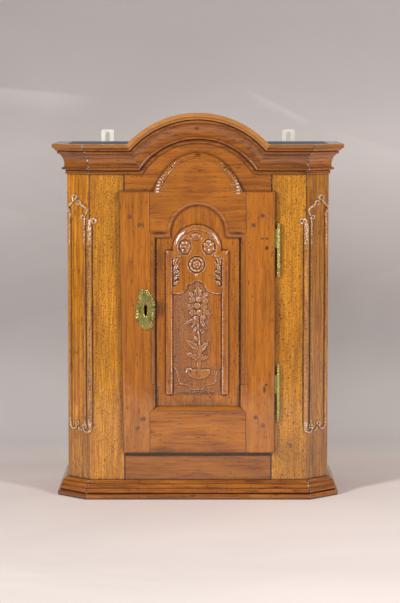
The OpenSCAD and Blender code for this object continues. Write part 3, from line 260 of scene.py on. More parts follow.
WOODS = {
    "frame": dict(light=(214, 152, 32), mean=(185, 118, 19), dark=(135, 74, 9), ring=13, rings=0.15,
                  streaks=0.22, slope=0.02, flecks=0.8, fleck_len=2.7, bold=0.84, large=0.12, rough=0.42),
    "cant": dict(light=(213, 146, 29), mean=(185, 114, 18), dark=(132, 70, 9), ring=7, rings=0.25,
                 streaks=0.4, fibres=0.6, slope=0.02, flecks=0.2, fleck_len=8, fleck_w=2.0, rough=0.42),
    "door": dict(light=(192, 120, 24), mean=(171, 98, 17), dark=(131, 69, 10), edge_wear_and_sheen=0.6),
    "rail": dict(light=(182, 111, 24), mean=(161, 91, 17), dark=(113, 59, 11), ring=24, rings=0.22,
                 fibres=0.4, slope=0.16, flecks=0.08),
    "panel": dict(light=(188, 116, 24), mean=(167, 95, 17), dark=(122, 64, 10), flecks=0.2, fleck_len=5,
                  fleck_w=2.0, rough=0.38),
    "moulding": dict(light=(166, 99, 24), mean=(143, 79, 17), dark=(95, 48, 10), ring=6, rings=0.22,
                     streaks=0.45, slope=0.04, flecks=0.16, coat=0.75),
    "side": dict(light=(177, 109, 26), mean=(151, 88, 19), dark=(101, 55, 11), ring=12, rings=0.35,
                 streaks=0.4, fibres=0.5, slope=0.1, flecks=0.15, rough=0.46),
    "pine": dict(light=(206, 170, 122), mean=(184, 146, 98), dark=(146, 106, 64), ring=11, rings=0.34,
                 streaks=0.34, fibres=0.4, slope=0.05, flecks=0.02, fleck_len=5, fleck_w=2.0, rough=0.66,
                 coat=0.0),
}
# Dark brown of dirt and stains, and of painted shade in hollows and under edges
DIRT_AND_SHADE = srgb(44, 21, 8)
# Near black of joints and of painted shade lines
SEAM_AND_SHADE = srgb(24, 12, 8)
FLECK = srgb(56, 27, 9)
# Pale colour of worn edges and painted sheen, also used for paler bands
WEAR_AND_SHEEN = srgb(224, 158, 84)
# Pink of the painted highlight on crests
PINK_HIGHLIGHT = srgb(238, 184, 148)
# White of painted glints
GLINT_WHITE = srgb(236, 222, 206)

# How far the pieces' figures lie apart, and how far a pith wanders
SEED_STEPS = (37.0, 53.0, 71.0)
WANDER = 22.0
# Mean share of late wood
LATE = 0.38
EDGE_RADIUS = 0.7
BARE_SPECULAR = 0.12
# Depths of plane marks, gouge ripples, fibres, and fibres in the varnish
WAVES, RIPPLES, FIBRES, VARNISHED = 1.0, 1.1, 0.22, 0.1


def across(axis):
    """Two directions across a grain axis, the first in the board's face."""
    if axis == Z:
        return X, Y
    return Z, tuple(np.cross(axis, Z))


def plane_lines(s, planes):
    """1 on thin lines where a plane cuts either half of the cabinet."""
    x, y, z = s.split(s.place())
    folded = s.combine(s.math("ABSOLUTE", x), y, z)
    lines = 0.0
    for normal, distance, low, high, half in planes:
        gap = s.math("ABSOLUTE", s.minus(s.vector("DOT_PRODUCT", folded, normal), distance))
        shown = s.between(z, low - 2, high + 2, 2)
        lines = s.most(lines, s.times(shown, s.span(gap, half + 0.3, half - 0.3)))
    return lines


def stain_and_shade_mask(s, stains):
    """Dark stains and painted shadows seen from the front: x, z, half width, half height, softness and
    strength.
    """
    mask = 0.0
    for x, z, wide, tall, soft, strength in stains:
        off_x, _, off_z = s.split(s.scaled(s.place((x, 0, z)), 1 / wide, 0, 1 / tall))
        mask = s.most(mask, s.span(s.length(off_x, off_z), 1, 1 - soft, 0, strength))
    return mask


def from_middle(s, centre):
    """x and z from an arch's middle, seen from the front, and the distance."""
    x, _, z = s.split(s.place((centre[0], 0, centre[1])))
    return x, z, s.length(x, z)


def gouge_marks(s, centre, low, high, pitch):
    """Ripples round an arch's edge, 0 to 1, and the painted highlight on their crests."""
    x, z, reach = from_middle(s, centre)
    turn = s.times(s.math("ARCTAN2", z, x), 2 * math.pi * high / pitch)
    wave = s.plus(s.times(s.math("SINE", turn), 0.5), 0.5)
    # Only the arch's flanks carry them, above its springing line
    flanks = s.times(s.span(s.math("DIVIDE", s.math("ABSOLUTE", x), reach), 0.7, 0.8), s.span(z, -6, -4))
    rim = s.times(s.span(reach, low, low + 1.5), s.span(reach, high + 9, high + 8))
    shining = s.between(reach, high + 0.6, high + 7.0, 0.6)
    return s.times(wave, rim, flanks), s.times(s.span(wave, 0.45, 0.75), shining, flanks)


def figure(s, grain, run, wide, thick, w):
    """How dark the wood's figure is, 0 to 1, and its fibres, -0.5 to 0.5."""
    # Rings: distance from a pith that wanders and dips along the board
    wander = s.span(s.stretched(grain, 220, 60), 0.25, 0.75, -WANDER, WANDER)
    ring_x = s.plus(wide, w["pith"][0], wander)
    ring_y = s.plus(thick, w["pith"][1], s.times(s.math("ABSOLUTE", run), w["slope"]))
    turn = s.math("FRACT", s.math("DIVIDE", s.length(ring_x, ring_y), w["ring"]))
    late = s.times(s.span(turn, 0.15, 0.85), s.span(turn, 1.0, 0.88))
    streak = s.span(s.stretched(grain, 170, 6.0, 3.0, 0.6), 0.34, 0.66, -0.5, 0.5)
    fibre = s.span(s.stretched(grain, 38, 1.5, 3.0, 0.7), 0.32, 0.68, -0.5, 0.5)
    amount = s.plus(0.5, s.times(s.minus(late, LATE), w["rings"]), s.times(streak, w["streaks"]))
    return s.math("ADD", amount, s.times(fibre, w["fibres"]), clamp=True), fibre


def fleck_mask(s, grain, w):
    """Short dark dashes along the grain."""
    mask = 0.0
    for size, share in ((1.0, w["flecks"]), (1.9, w["large"] * w["flecks"])):
        across_grain = 1 / (size * w["fleck_w"])
        spot, luck = s.cells(s.scaled(grain, 1 / (size * w["fleck_len"]), across_grain, across_grain))
        chosen = s.span(luck, 1 - share - 0.02, 1 - share + 0.02)
        mask = s.most(mask, s.times(s.span(spot, 0.46, 0.18), chosen))
    return mask


def waxed_carving(s, colour, hollow, waxed):
    """Carving with dirt and painted shade in its hollows, painted highlight on its crests and a few painted
    glints.
    """
    crest = s.stored("crest")
    # Dirt and painted shade in the carving's hollows
    colour = s.mix(s.times(hollow, 0.88), colour, DIRT_AND_SHADE)
    # Painted highlight on the crests
    colour = s.mix(s.times(crest, waxed), colour, PINK_HIGHLIGHT)
    # A few painted glints on the crests
    gleam = s.span(s.noise(s.scaled(s.place(), 0.42), 1.0), 0.52, 0.57)
    return s.mix(s.times(crest, gleam, 0.95), colour, GLINT_WHITE)


def with_dark_lines(s, colour, height, seams, joint_glints):
    """Dark joint lines and lines of painted shade, with painted glint specks in them."""
    lines = plane_lines(s, seams)
    colour = s.mix(s.times(lines, 0.92), colour, SEAM_AND_SHADE)
    # Painted glint specks along the lines
    glint_specks = s.span(s.noise(s.scaled(s.place(), 0.32), 2.0, 0.7), 0.53, 0.6)
    return s.mix(s.times(lines, glint_specks, joint_glints), colour, GLINT_WHITE), s.minus(height, lines)


def wood(name, kind, axis, centre, seed, tone=1.0, carved=False, **changes):
    """Varnished wood with its figure, wear, stains, joint lines and tool marks, and with painted shade and
    highlights.
    """
    w = {**WOOD, **WOODS[kind], **changes}
    s = Shader(name)
    local = s.place(centre)
    run, wide, thick = [s.vector("DOT_PRODUCT", local, way) for way in (axis, *across(axis))]
    grain = s.vector("ADD", s.combine(run, wide, thick), tuple(step * seed for step in SEED_STEPS))
    amount, fibre = figure(s, grain, run, wide, thick, w)
    shades = [tuple(c * tone for c in srgb(*w[key])[:3]) + (1.0,) for key in ("light", "mean", "dark")]
    colour = s.ramp(amount, *shades)
    colour = s.shaded(colour, s.span(s.stretched(grain, 120, 46, 3.0), 0.3, 0.7, 0.88, 1.1))
    flecks = fleck_mask(s, grain, w)
    colour = s.mix(s.times(flecks, w["bold"]), colour, FLECK)

    rounded = s.soft_edges(EDGE_RADIUS)
    # Wear and painted sheen on the edges
    colour = s.mix(s.times(s.edge_wear(rounded), w["edge_wear_and_sheen"]), colour, WEAR_AND_SHEEN)
    if w["pale_band"]:
        # A paler band beyond a reach from an arch's middle
        band_centre, band_low, strength = w["pale_band"]
        rubbed = s.span(from_middle(s, band_centre)[2], band_low, band_low + 1.5)
        colour = s.mix(s.times(rubbed, strength), colour, WEAR_AND_SHEEN)
    if w["stains"]:
        mottle = s.span(s.noise(s.scaled(grain, 0.12, 0.3, 0.3), 3.0), 0.3, 0.6, 0.55, 1.0)
        # Stains, and painted shadow where a piece lists it
        colour = s.mix(s.times(stain_and_shade_mask(s, w["stains"]), mottle), colour, DIRT_AND_SHADE)
    coat = w["coat"]
    if carved:
        hollow = s.stored("cavity")
        colour = waxed_carving(s, colour, hollow, w["waxed"])
        coat = s.minus(1.0, s.times(hollow, 0.75))
    # Dirt and painted shade in corners and hollows, within 9 and 3 mm
    darkening = s.most(s.times(s.hollows(9.0), 0.7), s.times(s.hollows(3.0), 0.95))
    colour = s.mix(darkening, colour, DIRT_AND_SHADE)

    height = s.minus(s.times(s.plus(fibre, 0.5), 0.6), s.times(flecks, 0.8))
    if w["grooves"]:
        # Painted shade in grooves, also cut into the bump
        cut = plane_lines(s, w["grooves"])
        colour = s.mix(s.times(cut, 0.45), colour, SEAM_AND_SHADE)
        height = s.minus(height, cut)
    # Dark joint lines and lines of painted shade
    if w["seams"]:
        colour, height = with_dark_lines(s, colour, height, w["seams"], w["joint_glints"])
    waved = s.bump(s.stretched(grain, 48, 17), WAVES, rounded)
    if w["gouges"]:
        ripples, shine = gouge_marks(s, *w["gouges"])
        # Painted highlight on the ripples' crests
        colour = s.mix(s.times(shine, 0.8), colour, GLINT_WHITE)
        waved = s.bump(ripples, RIPPLES, waved)
    rough = s.span(fibre, -0.5, 0.5, w["rough"] - 0.06, w["rough"] + 0.08)
    rough = s.math("ADD", rough, s.times(darkening, 0.4), clamp=True)
    return s.finish(colour, rough, s.bump(height, FIBRES, waved), specular=BARE_SPECULAR, coat=coat,
                    coat_normal=s.bump(height, VARNISHED, waved))


# Metals and paint

def aged_metal(name, bright, dull, rough, patina=0.5, metallic=0.9):
    """Old metal, dull in patches and in the hollows."""
    s = Shader(name)
    at = s.place()
    cloud = s.noise(s.scaled(at, 0.1), 5.0, 0.75)
    speck = s.noise(s.scaled(at, 1.4), 3.0, 0.6)
    rounded = s.soft_edges(0.3)
    patches = s.times(s.span(cloud, 0.38, 0.66), patina)
    darkening = s.math("ADD", patches, s.times(s.hollows(4.0), 0.7), clamp=True)
    colour = s.mix(darkening, srgb(*bright), srgb(*dull))
    colour = s.mix(s.span(speck, 0.62, 0.72, 0.0, 0.5), colour, DIRT_AND_SHADE)
    roughness = s.plus(s.span(cloud, 0.3, 0.7, rough - 0.06, rough + 0.1), s.times(darkening, 0.25))
    return s.finish(colour, roughness, s.bump(speck, 0.14, s.bump(cloud, 0.9, rounded)), metallic=metallic)


def old_paint(name, centre):
    """Matt dark paint, rubbed and dusty."""
    s = Shader(name)
    at = s.place(centre)
    streak = s.noise(s.scaled(at, 0.01, 0.15, 0.15), 4.0, 0.6)
    cloud = s.noise(s.scaled(at, 0.05), 5.0, 0.7)
    rounded = s.soft_edges(0.8)
    paint = s.mix(s.span(streak, 0.35, 0.65), srgb(122, 124, 130), srgb(82, 84, 90))
    paint = s.mix(s.span(cloud, 0.5, 0.75, 0.0, 0.5), paint, srgb(168, 160, 150))
    paint = s.mix(s.times(s.edge_wear(rounded), 0.6), paint, srgb(120, 92, 66))
    height = s.plus(streak, s.times(s.noise(s.scaled(at, 1.1)), 0.3))
    return s.finish(paint, s.span(cloud, 0.3, 0.7, 0.6, 0.8), s.bump(height, 0.3, rounded))


def peg_wood(name):
    """End grain of the pegs: dark, with rays and darker patches."""
    s = Shader(name)
    at = s.place()
    fine = s.noise(s.scaled(at, 0.9, 0.1, 0.9), 3.0, 0.7)
    broad = s.noise(s.scaled(at, 0.05, 0.01, 0.05), 1.0)
    rounded = s.soft_edges(0.5)
    colour = s.mix(s.span(fine, 0.35, 0.65), srgb(140, 84, 42), srgb(96, 54, 28))
    colour = s.mix(s.span(broad, 0.4, 0.6, 0.0, 0.4), colour, srgb(70, 42, 26))
    colour = s.mix(s.times(s.edge_wear(rounded), 0.6), colour, DIRT_AND_SHADE)
    roughness = s.span(fine, 0.3, 0.7, 0.35, 0.5)
    return s.finish(colour, roughness, s.bump(fine, 0.2, rounded), coat=0.7, coat_normal=rounded)


# Finish of each CAD node: kind of wood, grain axis, tone, and what is special to it

# Middle of the door's arch, and the paler band along the cornice arch's outer edge
CROWN = (0.0, 570.0)
ARCH_PALE_BAND = ((0.0, 537.0), 163.5, 0.42)
# The straight cornice's paler upper edge, as an arc of very long reach
TOP_EDGE = ((0.0, -10000.0), 10650.0, 0.18)
STILE = dict(seams=[STILE_EDGE, FRONT_EDGE, FRONT_QUIRK])
BASE_SIDE = dict(grooves=REEDS)
BASE = dict(seams=[MITRE], joint_glints=0.85, grooves=REEDS)
CORNICE = dict(seams=[MITRE], joint_glints=0.85, pale_band=TOP_EDGE)

NODE_WOODS = {
    "frame_stile_left": ("frame", Z, 1.07, STILE),
    "frame_stile_right": ("frame", Z, 1.05, STILE | dict(
        fleck_len=3.4, fleck_w=2.3, stains=[(165, 82, 40, 60, 0.9, 0.3), (171, 98, 5, 6, 0.5, 0.8)])),
    # Its lines include the door's painted shadow
    "frame_rail_bottom": ("rail", X, 0.86, dict(
        seams=[STILE_EDGE, DOOR_SHADOW], joint_glints=0.0, pith=(30, 22), slope=0.22)),
    "frame_rail_top": ("rail", X, 1.0, dict(seams=[STILE_EDGE], pith=(-40, 26))),
    # The corner posts grow darker towards the bottom
    "corner_post_left": ("cant", Z, 1.19, dict(
        seams=CANT_QUIRKS, stains=[(-220, 70, 60, 90, 0.4, 0.42)])),
    "corner_post_right": ("cant", Z, 0.92, dict(
        seams=CANT_QUIRKS, stains=[(235, 60, 60, 90, 0.4, 0.28)])),
    "side_left": ("side", Z, 1.0, {}),
    "side_right": ("side", Z, 1.0, {}),
    "base_front": ("moulding", X, 1.27, BASE),
    "base_cant_left": ("moulding", CANT_LEFT, 1.27, BASE),
    "base_cant_right": ("moulding", CANT_RIGHT, 1.4, BASE),
    "base_side_left": ("moulding", Y, 1.1, BASE_SIDE),
    "base_side_right": ("moulding", Y, 1.1, BASE_SIDE),
    "cornice_arch": ("moulding", X, 1.0, dict(pale_band=ARCH_PALE_BAND, stains=[
        (-1.7, 684, 6, 4, 0.6, 0.8), (1.7, 640, 6, 4, 0.6, 0.8), (94, 648, 8, 5, 0.7, 0.6)])),
    "cornice_front_left": ("moulding", X, 0.92, CORNICE),
    "cornice_front_right": ("moulding", X, 0.86, CORNICE),
    "cornice_cant_left": ("moulding", CANT_LEFT, 1.0, CORNICE),
    "cornice_cant_right": ("moulding", CANT_RIGHT, 1.35, CORNICE),
    "cornice_side_left": ("moulding", Y, 1.0, {}),
    "cornice_side_right": ("moulding", Y, 1.0, {}),
    "door_stile_lock": ("door", Z, 1.0, dict(stains=[(-84, 330, 6, 180, 0.5, 0.35)])),
    "door_stile_hinge": ("door", Z, 1.0, dict(stains=[
        (126, 466, 4.2, 4.4, 0.3, 0.95), (118, 483, 4, 3, 0.6, 0.7), (122.4, 204, 3.2, 9, 0.5, 0.9),
        (84, 330, 6, 180, 0.5, 0.35)])),
    "door_rail_top": ("rail", X, 1.0, dict(
        seams=[RAIL_END], pith=(-20, 30), gouges=(CROWN, 62.5, 70.0, 5.8),
        stains=[(-72, 512, 10, 7, 0.9, 0.35), (0, 636, 9, 5, 0.8, 0.7),
                # Painted shadow under the arch's shoulders
                (-71, 493, 19, 4.5, 0.6, 0.8), (71, 493, 19, 4.5, 0.6, 0.8)])),
    "door_rail_bottom": ("rail", X, 1.0, dict(
        seams=[RAIL_END], pith=(36, 24), stains=[(-68, 92, 34, 12, 0.9, 0.55)])),
    "back_board_left": ("pine", Z, 0.9, {}),
    "back_board_middle": ("pine", Z, 1.0, {}),
    "back_board_right": ("pine", Z, 0.95, {}),
    "shelf": ("pine", X, 1.0, {}),
    "bottom_board": ("pine", X, 0.95, {}),
}

# Metals by the beginning of a node's name: the first that fits
NODE_METALS = {
    ("hinge_leaf", "escutcheon"): ("old_brass", (214, 200, 122), (104, 98, 52), 0.22),
    ("wall_hanger", "hanger_screws"): ("hanger_steel", (250, 247, 234), (214, 207, 188), 0.4, 0.4, 0.6),
    ("lock_key_post",): ("worn_steel", (232, 232, 236), (150, 146, 142), 0.22, 0.3),
    ("lock_", "strike_", "hinge_pins", "hinge_nails"): (
        "old_iron", (112, 106, 100), (62, 50, 42), 0.5, 0.5, 0.7),
}


def dress(node, material):
    """Gives a CAD node one material in every slot."""
    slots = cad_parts[node].data.materials
    for i in range(len(slots)):
        slots[i] = material


def dress_nodes():
    for seed, (node, (kind, axis, tone, special)) in enumerate(NODE_WOODS.items(), start=1):
        dress(node, wood(node + "_wood", kind, axis, middle(node), seed, tone, **special))
    metals = {starts: aged_metal(*look) for starts, look in NODE_METALS.items()}
    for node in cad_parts:
        for starts, metal in metals.items():
            if node.startswith(starts):
                dress(node, metal)
                break
    dress("door_pegs", peg_wood("peg_end_grain"))
    dress("top_board", old_paint("dark_top_paint", middle("top_board")))


# Meshes

def add_object(name, data):
    made = bpy.data.objects.new(name, data)
    bpy.context.scene.collection.objects.link(made)
    return made


def smooth_object(name, points, faces, material):
    """A smooth mesh object from points in millimetres."""
    mesh = bpy.data.meshes.new(name)
    mesh.from_pydata([tuple(p) for p in np.asarray(points) * MM], [], faces)
    mesh.validate()
    mesh.update()
    mesh.polygons.foreach_set("use_smooth", [True] * len(mesh.polygons))
    mesh.materials.append(material)
    return add_object(name, mesh)


def make_piece(name, points, faces, material, body, replaced):
    """A mesh piece that rides a body and stands for CAD nodes."""
    piece = smooth_object(name, points, faces, material)
    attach(piece, body)
    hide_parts(*replaced)
    return piece


def mark(piece, name, values):
    """Stores one value per point for the piece's material."""
    stored = piece.data.attributes.new(name, "FLOAT", "POINT").data
    stored.foreach_set("value", np.asarray(values, np.float32))


def ring_faces(first, rings, count, step, order=1):
    """Faces between rings of count points, whose first points lie step apart."""
    faces = []
    for ring in range(rings - 1):
        for k in range(count):
            a, b = [first + ring * step + i for i in (k, (k + 1) % count)]
            faces.append((a, b, b + step, a + step)[::order])
    return faces


# Carved panel: a height above the panel's margin at each point of its face.
# x is measured from the field's axis and z from the floor.

AXIS_X = -1.4
FIELD_HALF, FIELD_LOW, FIELD_SHOULDER = 58.0, 194.0, 461.0
HEAD_R, HEAD_Z = 45.0, 463.0
BORDER_W, BORDER_RISE = 12.0, 6.3
GROUND, UPPER_GROUND, HIGHEST = 2.8, 5.0, 6.7


def ease(value, low, high):
    t = np.clip((value - low) / (high - low), 0.0, 1.0)
    return t * t * (3 - 2 * t)


def bell(off, width):
    """1 at no offset, fading to 0 over a few widths."""
    return np.exp(-(off / width) ** 2)


def bulge(share):
    """A round back: 1 in its middle (share 0) and 0 from its edge (share 1) on."""
    return np.sqrt(np.clip(1 - share ** 2, 0, 1))


def ellipse(x, z, cx, cz, a, b):
    """0 at an ellipse's centre and 1 on its rim."""
    return np.hypot((x - cx) / a, (z - cz) / b)


def dome(x, z, cx, cz, a, b, rise):
    """A rounded boss with steep sides."""
    return rise * bulge(ellipse(x, z, cx, cz, a, b))


def laid(ground, motif):
    """A raised motif laid on its ground."""
    return np.where(motif > 0, np.maximum(ground, motif), ground)


def leaf(x, z, foot, tip, width, rise):
    """A leaf: pointed, hollow along its midrib and notched along its edge."""
    fx, fz = foot
    length = math.hypot(tip[0] - fx, tip[1] - fz)
    ux, uz = (tip[0] - fx) / length, (tip[1] - fz) / length
    t = ((x - fx) * ux + (z - fz) * uz) / length
    off = (z - fz) * ux - (x - fx) * uz
    inside = np.clip(t, 0, 1)
    notch = 1 + 0.16 * np.cos(inside * 6 * math.pi)
    half = 0.5 * width * np.sin(math.pi * inside ** 0.8) ** 0.7 * notch + 1e-6
    across_leaf = np.clip(np.abs(off) / half, 0, 1)
    body = np.sqrt(1 - across_leaf ** 2) * (0.55 + 0.45 * np.sin(math.pi * inside))
    rib = 1 - 0.55 * bell(off, 0.1 * width + 0.3)
    return np.where((t > 0) & (t < 1) & (np.abs(off) < half), rise * body * rib, 0.0)


def cord_line(x, z, points, width, rise):
    """A rounded stem along a few straight stretches."""
    best = np.zeros_like(x)
    for (ax, az), (bx, bz) in zip(points, points[1:]):
        dx, dz = bx - ax, bz - az
        t = np.clip(((x - ax) * dx + (z - az) * dz) / (dx * dx + dz * dz), 0, 1)
        gap = np.hypot(x - ax - t * dx, z - az - t * dz) / (width / 2)
        best = np.maximum(best, rise * bulge(gap))
    return best


def blossom(x, z, cx, cz, radius, rise, petals, spin=0.0):
    """A flower: a ring of petals with a raised eye."""
    dx, dz = x - cx, z - cz
    r = np.hypot(dx, dz) / radius
    angle = np.arctan2(dz, dx) + spin
    wave = 0.5 + 0.5 * np.cos(petals * angle)
    reach = 0.72 + 0.28 * wave
    petal = bulge((r - 0.62) / (reach * 0.48)) * (0.45 + 0.55 * wave)
    return rise * np.maximum(petal, 1.1 * bulge(r / 0.3))


def punched(x, z, spacing, seed):
    """Punched ground with jittered pits, 1 at the bottom of a pit."""
    pit = np.zeros_like(x)
    for step_x in (-1, 0, 1):
        for step_z in (-1, 0, 1):
            cx, cz = np.floor(x / spacing) + step_x, np.floor(z / spacing) + step_z
            jitter_x = np.modf(np.abs(np.sin(cx * 12.9898 + cz * 78.233 + seed) * 43758.5))[0]
            jitter_z = np.modf(np.abs(np.sin(cx * 39.3468 + cz * 11.135 + seed) * 24634.6))[0]
            gap = np.hypot(x - (cx + 0.2 + 0.6 * jitter_x) * spacing,
                           z - (cz + 0.2 + 0.6 * jitter_z) * spacing)
            pit = np.maximum(pit, np.clip(1 - gap / (0.55 * spacing), 0, 1))
    return ease(pit, 0.0, 0.7)


# Lower edge of the field's inner part, as height over distance from the axis
BRACKET_X = [0, 11, 15, 21, 31, 35, 36.5, 38, 40, 47, 60]
BRACKET_Z = [201.2, 202, 207, 210.5, 212, 216, 229, 235, 238, 246, 247]
# Lower edge of the smooth upper field
APRON_X = [-60, -28, -24, -20, -18.4, -14, -9, -2, 5.5, 12.9, 15, 17.5, 22, 33, 60]
APRON_Z = [381, 381, 384, 390, 398, 399, 400.5, 405.6, 403.7, 398, 392, 387, 384.4, 380.5, 380]
ROSETTE = (-1.0, 435.0)
ROSETTE_R = 15.0
# Middle and half sizes
ROUNDELS = [(-22.0, 467.0, 11.8, 15.0), (21.5, 467.5, 12.2, 15.5)]
# Lobes of the shell, from its middle, with their size
SHELL = (-2, 486)
SHELL_LOBES = [(-5.0, 0.5, 3.0), (0.0, 2.2, 3.6), (5.0, 0.5, 3.0)]
# Foot, tip and width of each leaf, on the right half
SIDE_LEAVES = [((43, 424), (33, 439), 7), ((43, 434), (36, 451), 8), ((43, 420), (32, 424), 6),
               ((43, 408), (33, 416), 6), ((43, 398), (33, 405), 6), ((42, 443), (44, 455), 6)]
# The bunch: crown leaves with their rise, flower heads with their radius, leaves on the stem
CROWN_LEAVES = [((1.5, 372), (1.5, 394), 15, 3.0), ((-4, 372), (-16, 386), 9, 2.4),
                ((6, 372), (21, 384), 9, 2.4)]
FLOWER_HEADS = [(-9, 369, 6.5), (3, 371, 6.0), (14, 368, 6.5), (-12, 357, 6.5), (0, 359, 6.5), (12, 357, 7.0),
                (-8, 346, 6.5), (4, 346, 6.5), (16, 347, 6.0), (10, 337, 6.0), (-2, 336, 5.5)]
STEM_LEAVES = [((0, 334), (-10, 319), 7), ((-4, 334), (-24, 325), 7), ((6, 334), (15, 319), 7),
               ((2, 322), (-9, 309), 6), ((4, 318), (14, 306), 6), ((3, 278), (-21, 296), 12),
               ((6, 274), (21, 296), 10), ((3, 292), (-6, 304), 6), ((3, 262), (-22, 272), 9),
               ((6, 259), (22, 266), 8), ((3, 258), (-8, 266), 6), ((4, 258), (12, 270), 6)]
UPPER_STEM = [(1, 332), (2, 312), (4, 293), (5, 276)]
LOWER_STEM = [(5, 276), (4, 262), (2.5, 244)]
BOWL_RIM = [(-20, 236), (-18, 242), (-12, 242), (-6, 236), (2, 233), (12, 236), (22, 235)]


def field_border(x, z):
    """Height of the rounded border, and how far inside it a point lies."""
    sides = np.minimum(FIELD_HALF - np.abs(x), FIELD_SHOULDER - z)
    inside = np.maximum(sides, HEAD_R - np.hypot(x, z - HEAD_Z))
    width = BORDER_W - 2.0 * ease(z, 452, 470)
    height = BORDER_RISE * bulge(1 - np.clip(inside / width, 0, 1))
    quirk = 2.2 * bell(inside - width - 0.7, 0.9)
    return np.where(inside > 0, height - quirk, 0.0), inside - width


def head_carving(x, z):
    """Roundels, rosette, shell and side leaves of the smooth upper field."""
    h = np.zeros_like(x)
    for i, (cx, cz, a, b) in enumerate(ROUNDELS):
        rim = ellipse(x, z, cx, cz, a, b)
        flower = blossom(x, z - (z - cz) * 0.15, cx, cz, 0.8 * a, 1.7, 6, 0.5 * i)
        h -= 1.7 * ease(rim, 1.04, 0.94)
        h += np.where(rim < 0.95, np.maximum(-0.5 * punched(x, z, 2.1, 3.0 + i), flower), 0.0)
    cx, cz = ROSETTE
    r = np.hypot(x - cx, z - cz)
    h -= 2.0 * bell(r - ROSETTE_R, 1.0)
    angle = np.arctan2(z - cz, x - cx)
    rays = 0.9 * np.abs(np.cos(5 * angle)) * ease(r, 8.0, 9.5) * ease(r, 14.6, 12.8)
    ring = -1.6 * bell(r - 8.6, 0.9)
    heart = blossom(x, z, cx, cz, 7.2, 1.3, 5)
    h += np.where(r < ROSETTE_R - 0.6, rays + ring + heart - 0.7, 0.0)
    for dx, dz, size in SHELL_LOBES:
        h = laid(h, dome(x, z, SHELL[0] + dx, SHELL[1] + dz, size, size * 1.3, 1.5))
    h -= 0.9 * np.exp(-(ellipse(x, z, SHELL[0], SHELL[1] + 0.5, 10, 7.5) - 1) ** 2 / 0.012)
    scallop = np.abs(x) + 2.6 * np.sin(z / 2.9) - 1.5 * np.cos(z / 7.0)
    sink = ease(scallop, 34, 36) * ease(z, 392, 396) * ease(z, 456, 450)
    h -= sink * (1.2 + 0.5 * punched(x, z, 2.0, 9.0))
    for side in (-1, 1):
        for foot, tip, width in SIDE_LEAVES:
            h = laid(h, leaf(side * x, z, foot, tip, width, 1.5))
    return laid(h, dome(x, z, -1.5, 414, 3.2, 4.2, 1.3))


def bouquet(x, z):
    """The hanging bunch of flowers over its bowl."""
    parts = [leaf(x, z, *crown) for crown in CROWN_LEAVES]
    parts += [leaf(x, z, *low, 2.4) for low in STEM_LEAVES]
    for i, (cx, cz, radius) in enumerate(FLOWER_HEADS):
        swell = 1.2 + 1.6 * math.exp(-((cx - 1) / 14) ** 2)
        petals = blossom(x, z, cx, cz, radius, 0.9, 5 + i % 2, 0.7 * i)
        parts.append(dome(x, z, cx, cz, radius, radius, swell) + petals - 0.2)
    parts.append(cord_line(x, z, UPPER_STEM, 4.2, 2.0))
    twist = 0.6 * np.abs(np.sin(x * 1.6)) * (z < 262)
    parts.append(cord_line(x, z, LOWER_STEM, 8.0, 2.2) - twist)
    bowl = ellipse(x, z, 3, 240, 22, 17.5)
    parts.append(np.where((bowl < 1) & (z < 241), 2.6 * bulge(bowl) + 0.4, 0.0))
    parts.append(cord_line(x, z, BOWL_RIM, 3.6, 2.6))
    return np.maximum(np.maximum.reduce(parts), 0.0)


def panel_height(x, z):
    """Height of the carved face above the panel's margin."""
    border, depth = field_border(x, z)
    ground_fall = ease(z - np.interp(x, APRON_X, APRON_Z), -0.5, 0.5)
    inner = GROUND + (UPPER_GROUND - GROUND) * ground_fall
    # The lower ground is punched, and rubbed smooth on its right side
    rubbed = 1 - 0.85 * ease(x, 20, 30) * ease(z, 240, 262)
    lower = -0.6 * punched(x, z, 2.3, 1.0) * rubbed
    motif = 0.86 * bouquet(x, z)
    lower = laid(lower, motif) + 0.35 * punched(x, z, 1.9, 7.0) * (motif > 0.2)
    bracket = z - np.interp(np.abs(x), BRACKET_X, BRACKET_Z)
    lower = np.where(bracket < 0, -1.1 - 0.6 * punched(x, z, 2.2, 5.0), lower)
    lower = lower - 1.5 * bell(bracket - 0.4, 0.9)
    carved = inner + np.where(ground_fall > 0.5, head_carving(x, z), lower)
    height = np.where(depth > 0.8, np.minimum(carved, HIGHEST), border)
    corner_sink = ease(z, 214, 204) * ease(depth, -4, 1)
    height = height - corner_sink * 0.4 * (depth < 0.8)
    return height * bulge(1 - np.clip((z - FIELD_LOW) / 4.5, 0, 1))


def graded(low, fine_low, fine_high, high):
    """Grid lines, fine between fine_low and fine_high and coarse outside."""
    parts = []
    for a, b, step in ((low, fine_low, 2.5), (fine_low, fine_high, 0.62), (fine_high, high, 2.5)):
        parts.append(np.linspace(a, b, max(2, int((b - a) / step)))[:-1])
    return np.array([*np.concatenate(parts), high])


def blurred(field, reach):
    """A field averaged over a window of rows and columns."""
    kernel = np.exp(-(np.arange(-2 * reach, 2 * reach + 1) / reach) ** 2)
    kernel /= kernel.sum()
    padded = np.pad(field, 2 * reach, mode="edge")
    padded = np.apply_along_axis(np.convolve, 0, padded, kernel, mode="valid")
    return np.apply_along_axis(np.convolve, 1, padded, kernel, mode="valid")


def cavity_of(height):
    """1 in the grooves and pits of a height field."""
    depths = [(blurred(height, reach) - height) / full for reach, full in ((2, 0.24), (4, 0.7), (6, 1.5))]
    return np.clip(np.maximum.reduce(depths) - 0.15, 0, 1)


def crest_of(height):
    """1 on the ridges of a height field."""
    return np.clip((height - blurred(height, 3)) / 0.6 - 0.25, 0, 1)


# The margin lies this far before the panel's back; the head is an arch above the shoulders
MARGIN_DEPTH = 6.5
SHOULDER, ARCH_Z = 492.0, 493.5
FINE_TOP = 510.0
SLIVER = 1e-6


